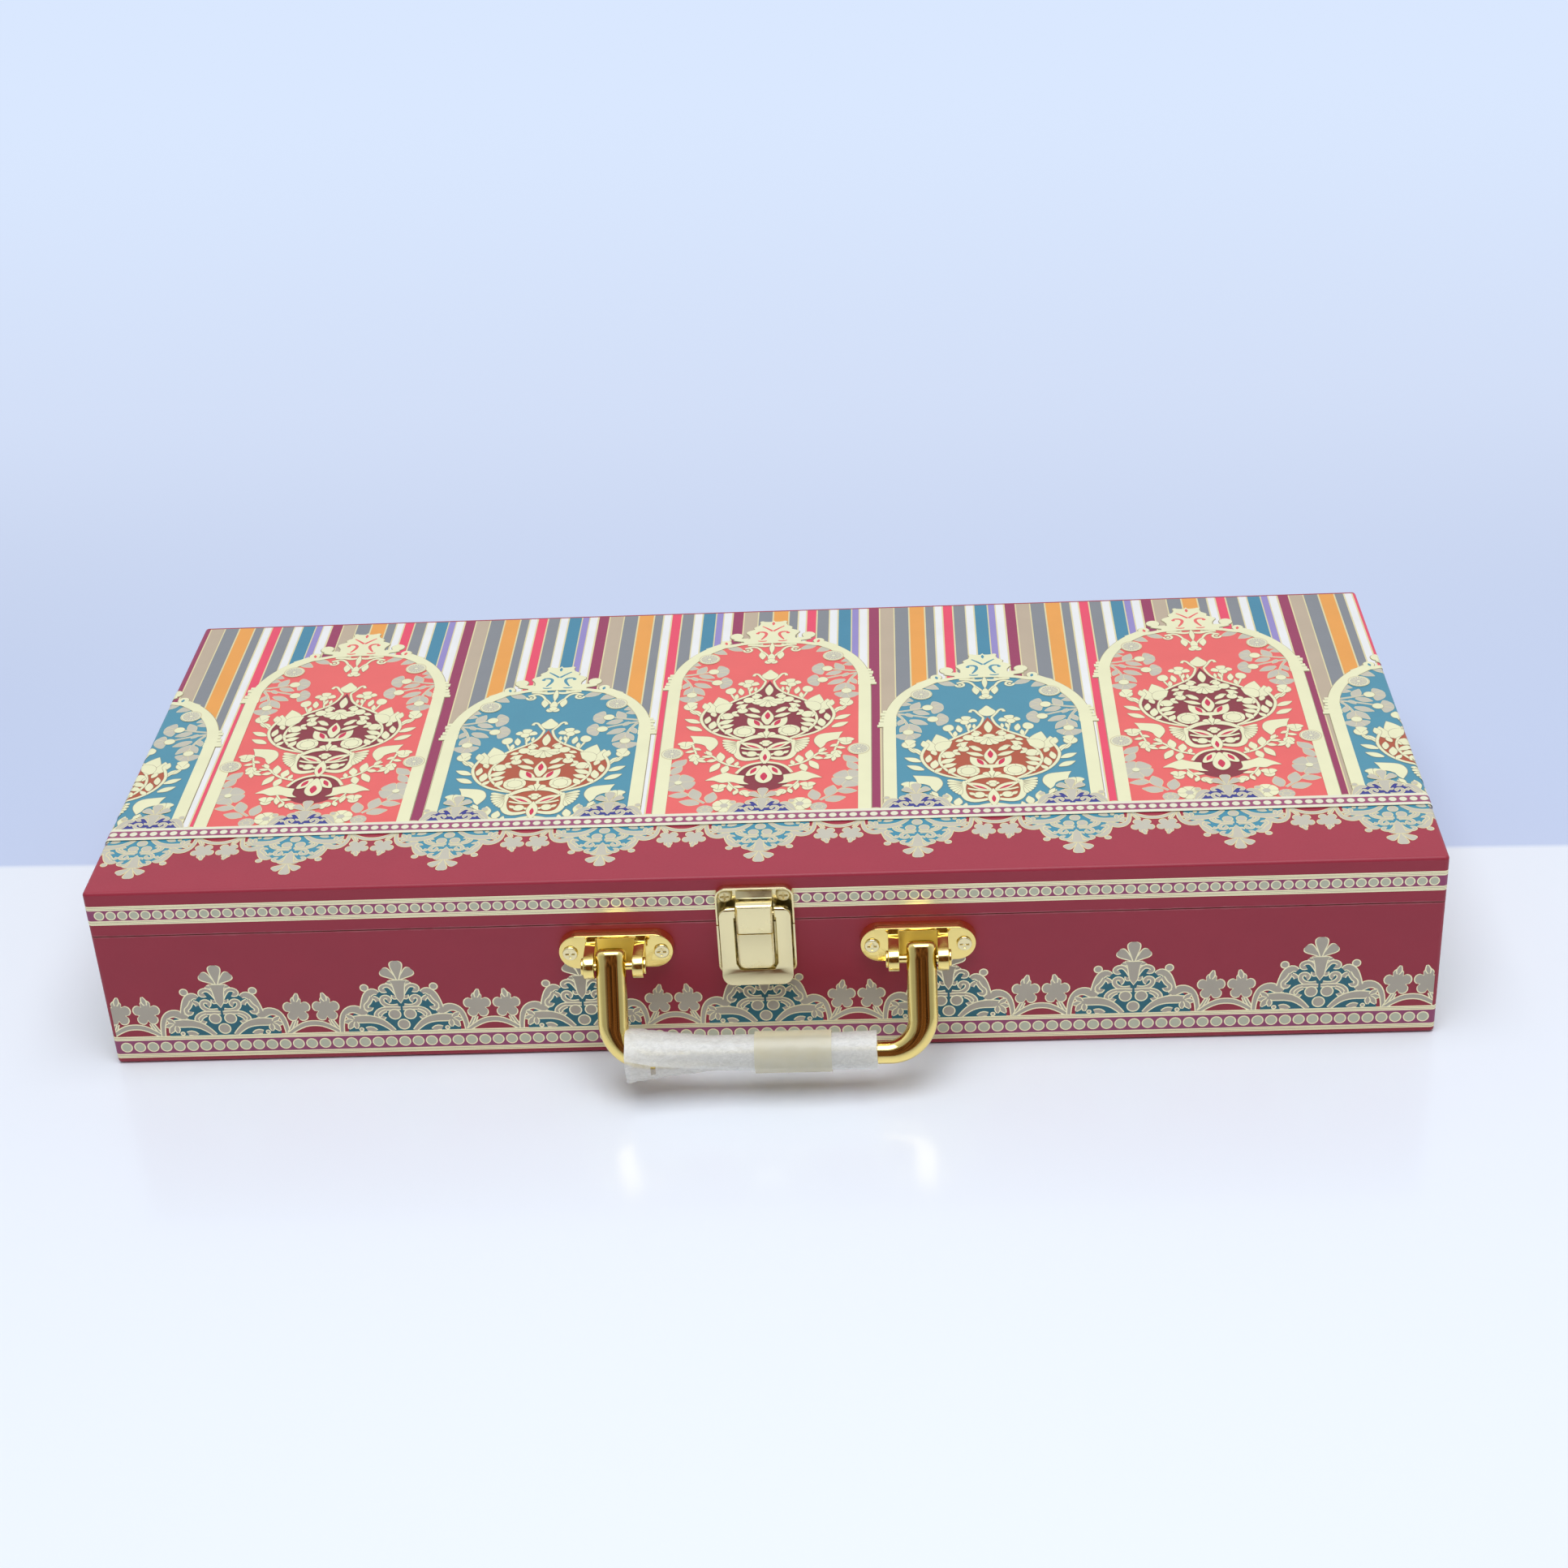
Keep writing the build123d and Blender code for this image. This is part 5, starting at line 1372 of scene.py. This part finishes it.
class JARBOX_OT_packing(bpy.types.Operator):
    """Foam film wound round the grip, and the tape that holds it"""
    bl_idname = "jarbox.packing"
    bl_label = "Packing film and tape"

    def execute(self, context):
        sizes = context.scene.jar_wrap_sizes
        turns = sizes.film_turns
        left, right, axis_y = -47.8, 36.3, -30.6
        tape_left, tape_right, tape_margin = -4.6, 21.2, 3
        start, most_skew = math.radians(150), math.radians(75)
        film = bmesh.new()
        bmesh.ops.create_grid(film, x_segments=150, y_segments=96, size=0.5)
        for vert in film.verts:
            along = vert.co.x + 0.5
            wound = vert.co.y + 0.5
            x = left + along * (right - left)
            skew = most_skew * max(0.0, 1 - along / 0.62)
            angle = start - wound * (turns * 2 * math.pi - skew)
            flare = max(0.0, 1 - along / 0.34)
            under_tape = tape_left - tape_margin < x < tape_right + tape_margin
            pressed = 0.3 if under_tape else 1.0
            mouth = 3.3 * flare ** 1.2
            radius = 5.15 + 1.1 * wound ** 0.8 + mouth + 0.35 * max(0, along - 0.8) / 0.2
            probe = Vector((x / 3.4, math.cos(angle) * 1.9 + 7 * wound, math.sin(angle) * 1.9))
            fold = abs(noise.noise(probe)) * 2 - 0.5
            fine = noise.noise(probe * 3.1)
            radius += sizes.crinkle / MM * pressed * (fold + 0.4 * fine) * (1 + 1.1 * flare)
            loose = max(0.0, wound - 0.9) / 0.1 * flare
            radius += 0.9 * loose
            if along in (0, 1):
                x += 0.5 * noise.noise(Vector((wound * 9, 3 if along < 0.5 else 8, 0)))
            vert.co = Vector((x, axis_y + radius * math.sin(angle), radius * math.cos(angle)))
        hole, hole_radius, hole_half = Vector((-38.6, axis_y - 4.4, 6.6)), 1.9, 0.9
        torn = []
        for face in film.faces:
            away = face.calc_center_median() - hole
            if away.length < hole_radius and abs(away.x) < hole_half:
                torn.append(face)
        bmesh.ops.delete(film, geom=torn, context="FACES")
        film.normal_update()
        bmesh.ops.transform(film, matrix=handle_place, verts=film.verts)
        piece = new_piece(
            "handle_film", film, foam_film("foam_film"), "handle", sharp=180,
        )
        skin = piece.modifiers.new("skin", "SOLIDIFY")
        skin.thickness = sizes.film_thick
        skin.offset = 0
        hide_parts("handle_foam_wrap")
        self.tape(tape_left, tape_right, axis_y, piece)
        return {"FINISHED"}

    def tape(self, left, right, axis_y, film):
        """Tape once round the film and a little over its own start."""
        turns, mean_radius, start = 1.12, 6.98, math.radians(60)
        band = bmesh.new()
        bmesh.ops.create_grid(band, x_segments=40, y_segments=110, size=0.5)
        for vert in band.verts:
            x = left + (vert.co.x + 0.5) * (right - left)
            wound = vert.co.y + 0.5
            angle = start + wound * turns * 2 * math.pi
            probe = Vector((x / 2.6, math.cos(angle) * 2.2, math.sin(angle) * 2.2))
            radius = mean_radius + 0.1 * noise.noise(probe) + 0.12 * max(0, wound - 0.88) / 0.12
            vert.co = Vector((x, axis_y + radius * math.sin(angle), radius * math.cos(angle)))
        bmesh.ops.transform(band, matrix=handle_place, verts=band.verts)
        paper = masking_tape("creped_tape")
        piece = new_piece("handle_tape_band", band, paper, "handle", sharp=180)
        skin = piece.modifiers.new("skin", "SOLIDIFY")
        skin.thickness = 0.1 * MM
        skin.offset = 0
        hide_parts("handle_tape")


class JARBOX_OT_latch(bpy.types.Operator):
    """Keeper, base plate, swinging frame, pin and screws of the latch"""
    bl_idname = "jarbox.latch"
    bl_label = "Latch"

    def execute(self, context):
        tones = context.scene.jar_metal_colours
        satin = gilt_plating("satin_gilt_plating", tones.satin_gilt, 0.2, 0.9)
        bright = gilt_plating("latch_frame_gilt", tones.satin_gilt, 0.17, 0.8)
        worn = gilt_plating("rubbed_screw_gilt", tones.satin_gilt, 0.46, 1.2)
        softened("latch_keeper_plate", satin, "lid", 0.18)
        softened("latch_base_plate", satin, "base", 0.18)
        softened("latch_frame", bright, "latch", 0.3)
        softened("latch_keeper_screws", worn, "lid", 0.1, 2)
        softened("latch_base_screws", worn, "base", 0.1, 2)
        dress(["latch_frame_pin"], bright)
        return {"FINISHED"}


class JARBOX_OT_hinges(bpy.types.Operator):
    """Rear hinges, their pins and screws"""
    bl_idname = "jarbox.hinges"
    bl_label = "Hinges"

    def execute(self, context):
        tones = context.scene.jar_metal_colours
        plate = gilt_plating("hinge_gilt_plating", tones.satin_gilt, 0.2, 0.8)
        for side in ("left", "right"):
            softened(f"{side}_hinge_base_leaf", plate, "base", 0.15, 2)
            softened(f"{side}_hinge_lid_leaf", plate, "lid", 0.15, 2)
        softened("hinge_base_screws", plate, "base", 0.08, 2)
        softened("hinge_lid_screws", plate, "lid", 0.08, 2)
        dress(["hinge_pins"], plate)
        return {"FINISHED"}


class JARBOX_OT_jars(bpy.types.Operator):
    """Ten glass jars with pressed metal caps"""
    bl_idname = "jarbox.jars"
    bl_label = "Jars"

    def execute(self, context):
        glass = soda_glass("moulded_glass")
        cap = gilt_plating(
            "lacquered_tinplate", context.scene.jar_metal_colours.cap_gilt, 0.3, 0.08,
        )
        numbers = range(1, 11)
        dress([f"jar_{i}" for i in numbers], glass)
        dress([f"jar_cap_{i}" for i in numbers], cap)
        return {"FINISHED"}


class JARBOX_OT_stage(bpy.types.Operator):
    """Pale table, soft light and the camera"""
    bl_idname = "jarbox.stage"
    bl_label = "Stage"

    def execute(self, context):
        light = context.scene.jar_stage_light
        table_reach = 6
        floor = bmesh.new()
        bmesh.ops.create_grid(floor, x_segments=1, y_segments=1, size=table_reach)
        mesh = bpy.data.meshes.new("table")
        floor.to_mesh(mesh)
        floor.free()
        table = bpy.data.objects.new("table", mesh)
        context.scene.collection.objects.link(table)
        mesh.materials.append(self.table_finish(light))
        self.room(light)
        self.soft_box(light)
        self.camera()
        return {"FINISHED"}

    def table_finish(self, light):
        """Glossy white laminate in front, pale blue paper behind the line where they meet.
        The paper keeps the box's shadow near it and shows its own even colour far off, turning
        paler farther back as painted light."""
        material, tree = blank("white_laminate")
        place = node(tree, "ShaderNodeTexCoord").outputs["Object"]
        axes = node(tree, "ShaderNodeSeparateXYZ", None, {0: place})
        slant = node(
            tree, "ShaderNodeMath", {"operation": "MULTIPLY_ADD", 1: 0.0259},
            {0: axes.outputs[0], 2: axes.outputs[1]}
        )
        behind = node(
            tree, "ShaderNodeMapRange", {"From Min": 0.0255, "From Max": 0.0285},
            {"Value": slant.outputs[0]}
        )
        # Painted light: the backdrop paper turns paler the farther back it lies.
        far = node(
            tree, "ShaderNodeMapRange",
            {"From Min": 0.03, "From Max": 1.1, "interpolation_type": "SMOOTHSTEP"},
            {"Value": slant.outputs[0]},
        )
        paper = node(tree, "ShaderNodeMix", {"data_type": "RGBA"}, {"Factor": far.outputs[0]})
        paper.inputs[6].default_value = list(light.backdrop) + [1]
        paper.inputs[7].default_value = linear("DAE8FF") + [1]
        tone = node(
            tree, "ShaderNodeMix", {"data_type": "RGBA"},
            {"Factor": behind.outputs[0], 7: paper.outputs[2]}
        )
        tone.inputs[6].default_value = list(light.table) + [1]
        gloss = node(
            tree, "ShaderNodeMapRange", {"To Min": 0.16, "To Max": 0.7},
            {"Value": behind.outputs[0]}
        )
        surface = node(
            tree, "ShaderNodeBsdfPrincipled", {"Specular IOR Level": 0.35},
            {"Base Color": tone.outputs[2], "Roughness": gloss.outputs[0]},
        )
        even = node(tree, "ShaderNodeEmission", {"Strength": 1.0}, {"Color": paper.outputs[2]})
        ray = node(tree, "ShaderNodeLightPath")
        seen = node(
            tree, "ShaderNodeMath", {"operation": "MAXIMUM"},
            {0: ray.outputs["Is Camera Ray"], 1: ray.outputs["Is Glossy Ray"]},
        )
        seen = node(
            tree, "ShaderNodeMath", {"operation": "MAXIMUM"},
            {0: seen.outputs[0], 1: ray.outputs["Is Transmission Ray"]},
        )
        open_paper = node(
            tree, "ShaderNodeMapRange",
            {"From Min": 0.03, "From Max": 0.5, "To Max": 1.0, "interpolation_type": "SMOOTHSTEP"},
            {"Value": slant.outputs[0]},
        )
        share = node(
            tree, "ShaderNodeMath", {"operation": "MULTIPLY"},
            {0: seen.outputs[0], 1: open_paper.outputs[0]}
        )
        mixed = node(
            tree, "ShaderNodeMixShader", None,
            {0: share.outputs[0], 1: surface.outputs[0], 2: even.outputs[0]}
        )
        node(tree, "ShaderNodeOutputMaterial", None, {"Surface": mixed.outputs[0]})
        return material

    def room(self, light):
        """Pale room with a darker patch in front, which the gilt mirrors."""
        world = bpy.data.worlds.new("room")
        bpy.context.scene.world = world
        world.use_nodes = True
        tree = world.node_tree
        tree.nodes.clear()
        way = node(tree, "ShaderNodeTexCoord").outputs["Generated"]
        axes = node(tree, "ShaderNodeSeparateXYZ", None, {0: way})
        lit = node(
            tree, "ShaderNodeMapRange",
            {
                "From Min": -0.9, "From Max": 0.3, "To Min": 0.42, "To Max": 1.0,
                "interpolation_type": "SMOOTHSTEP",
            },
            {"Value": axes.outputs[1]},
        )
        toward = node(
            tree, "ShaderNodeVectorMath", {"operation": "DOT_PRODUCT", 1: (0.03, -0.93, 0.36)},
            {0: way}
        )
        clutter = node(tree, "ShaderNodeTexNoise", {"Scale": 6.0, "Detail": 4}, {"Vector": way})
        ragged = node(
            tree, "ShaderNodeMath", {"operation": "MULTIPLY_ADD", 1: 0.16},
            {0: clutter.outputs["Fac"], 2: toward.outputs["Value"]}
        )
        shade = node(
            tree, "ShaderNodeMapRange", {"From Min": 0.975, "From Max": 1.02},
            {"Value": ragged.outputs[0]}
        )
        pale = node(
            tree, "ShaderNodeVectorMath", {"operation": "SCALE", 0: linear("F2F7FF")},
            {"Scale": lit.outputs[0]},
        )
        dark = node(tree, "ShaderNodeTexNoise", {"Scale": 14.0, "Detail": 3}, {"Vector": way})
        mottle = node(
            tree, "ShaderNodeMapRange",
            {"From Min": 0.35, "From Max": 0.7, "To Min": 0.15, "To Max": 1.6},
            {"Value": dark.outputs["Fac"]},
        )
        brown = node(
            tree, "ShaderNodeVectorMath", {"operation": "SCALE", 0: linear("6B4732")},
            {"Scale": mottle.outputs[0]},
        )
        tone = node(
            tree, "ShaderNodeMix", {"data_type": "RGBA"},
            {"Factor": shade.outputs[0], 6: pale.outputs[0], 7: brown.outputs[0]},
        )
        unlit = node(
            tree, "ShaderNodeBackground", {"Strength": light.room}, {"Color": tone.outputs[2]},
        )
        mirrored = node(tree, "ShaderNodeBackground", {"Strength": 1.0}, {"Color": tone.outputs[2]})
        seen = node(
            tree, "ShaderNodeBackground", {"Color": linear("DCE8FF") + [1], "Strength": 1.0},
        )
        ray = node(tree, "ShaderNodeLightPath")
        shining = node(
            tree, "ShaderNodeMixShader", None,
            {0: ray.outputs["Is Glossy Ray"], 1: unlit.outputs[0], 2: mirrored.outputs[0]},
        )
        mixed = node(
            tree, "ShaderNodeMixShader", None,
            {0: ray.outputs["Is Camera Ray"], 1: shining.outputs[0], 2: seen.outputs[0]},
        )
        node(tree, "ShaderNodeOutputWorld", None, {"Surface": mixed.outputs[0]})

    def soft_box(self, light):
        """Wide overhead light, 1.3 m square, in front of the box and 1.55 m up."""
        place, aim = Vector((0.05, -0.42, 1.55)), Vector((0, -0.02, 0.03))
        data = bpy.data.lights.new("overhead_soft_box", "AREA")
        data.shape = "SQUARE"
        data.size = 1.3
        data.energy = light.soft_box
        data.color = linear("F4F8FF")
        lamp = bpy.data.objects.new("overhead_soft_box", data)
        lamp.location = place
        lamp.rotation_euler = (aim - place).to_track_quat("-Z", "Y").to_euler()
        bpy.context.scene.collection.objects.link(lamp)

    def camera(self):
        """Camera at the photograph's viewing angle. Its place, its directions and the focal
        length were worked out from the box's own corners and edges."""
        sensor, focal_pixels, picture_pixels = 36, 3242, 1932
        data = bpy.data.cameras.new("camera")
        data.sensor_width = sensor
        data.lens = sensor * focal_pixels / picture_pixels
        forward = Vector((-0.04783, 0.86024, -0.50764)).normalized()
        right = Vector((0.99844, 0.02660, -0.04899)).normalized()
        up = right.cross(forward)
        camera = bpy.data.objects.new("camera", data)
        camera.matrix_world = Matrix((
            (right.x, up.x, -forward.x, 0.05170),
            (right.y, up.y, -forward.y, -0.83604),
            (right.z, up.z, -forward.z, 0.54172),
            (0, 0, 0, 1),
        ))
        bpy.context.scene.collection.objects.link(camera)
        bpy.context.scene.camera = camera
        bpy.context.scene.view_settings.view_transform = "Standard"


operators = (
    JARBOX_OT_stage, JARBOX_OT_case, JARBOX_OT_lid_print, JARBOX_OT_edge_print, JARBOX_OT_handle,
    JARBOX_OT_packing, JARBOX_OT_latch, JARBOX_OT_hinges, JARBOX_OT_jars,
)
groups = {
    "jar_print_colours": PrintColours,
    "jar_stripe_colours": StripeColours,
    "jar_print_sizes": PrintSizes,
    "jar_metal_colours": MetalColours,
    "jar_wrap_sizes": WrapSizes,
    "jar_stage_light": StageLight,
}


class JARBOX_PT_pieces(bpy.types.Panel):
    """Lists the pieces of the box"""
    bl_idname = "JARBOX_PT_pieces"
    bl_label = "Jar gift box"
    bl_space_type = "VIEW_3D"
    bl_region_type = "UI"
    bl_category = "Jar box"

    def draw(self, context):
        for operator in operators:
            self.layout.operator(operator.bl_idname)
        for name, group in groups.items():
            column = self.layout.column()
            for field in group.__annotations__:
                column.prop(getattr(context.scene, name), field)


def register():
    """Makes the operators, the panel and the settings known to Blender."""
    for kind in (*groups.values(), *operators, JARBOX_PT_pieces):
        bpy.utils.register_class(kind)
    for name, group in groups.items():
        setattr(bpy.types.Scene, name, PointerProperty(type=group))


def unregister():
    """Takes them away again."""
    for name in groups:
        delattr(bpy.types.Scene, name)
    for kind in (JARBOX_PT_pieces, *reversed(operators), *groups.values()):
        bpy.utils.unregister_class(kind)


def main():
    """Makes every piece."""
    register()
    for operator in operators:
        area_name, action = operator.bl_idname.split(".")
        getattr(getattr(bpy.ops, area_name), action)()


if __name__ == "__main__":
    main()
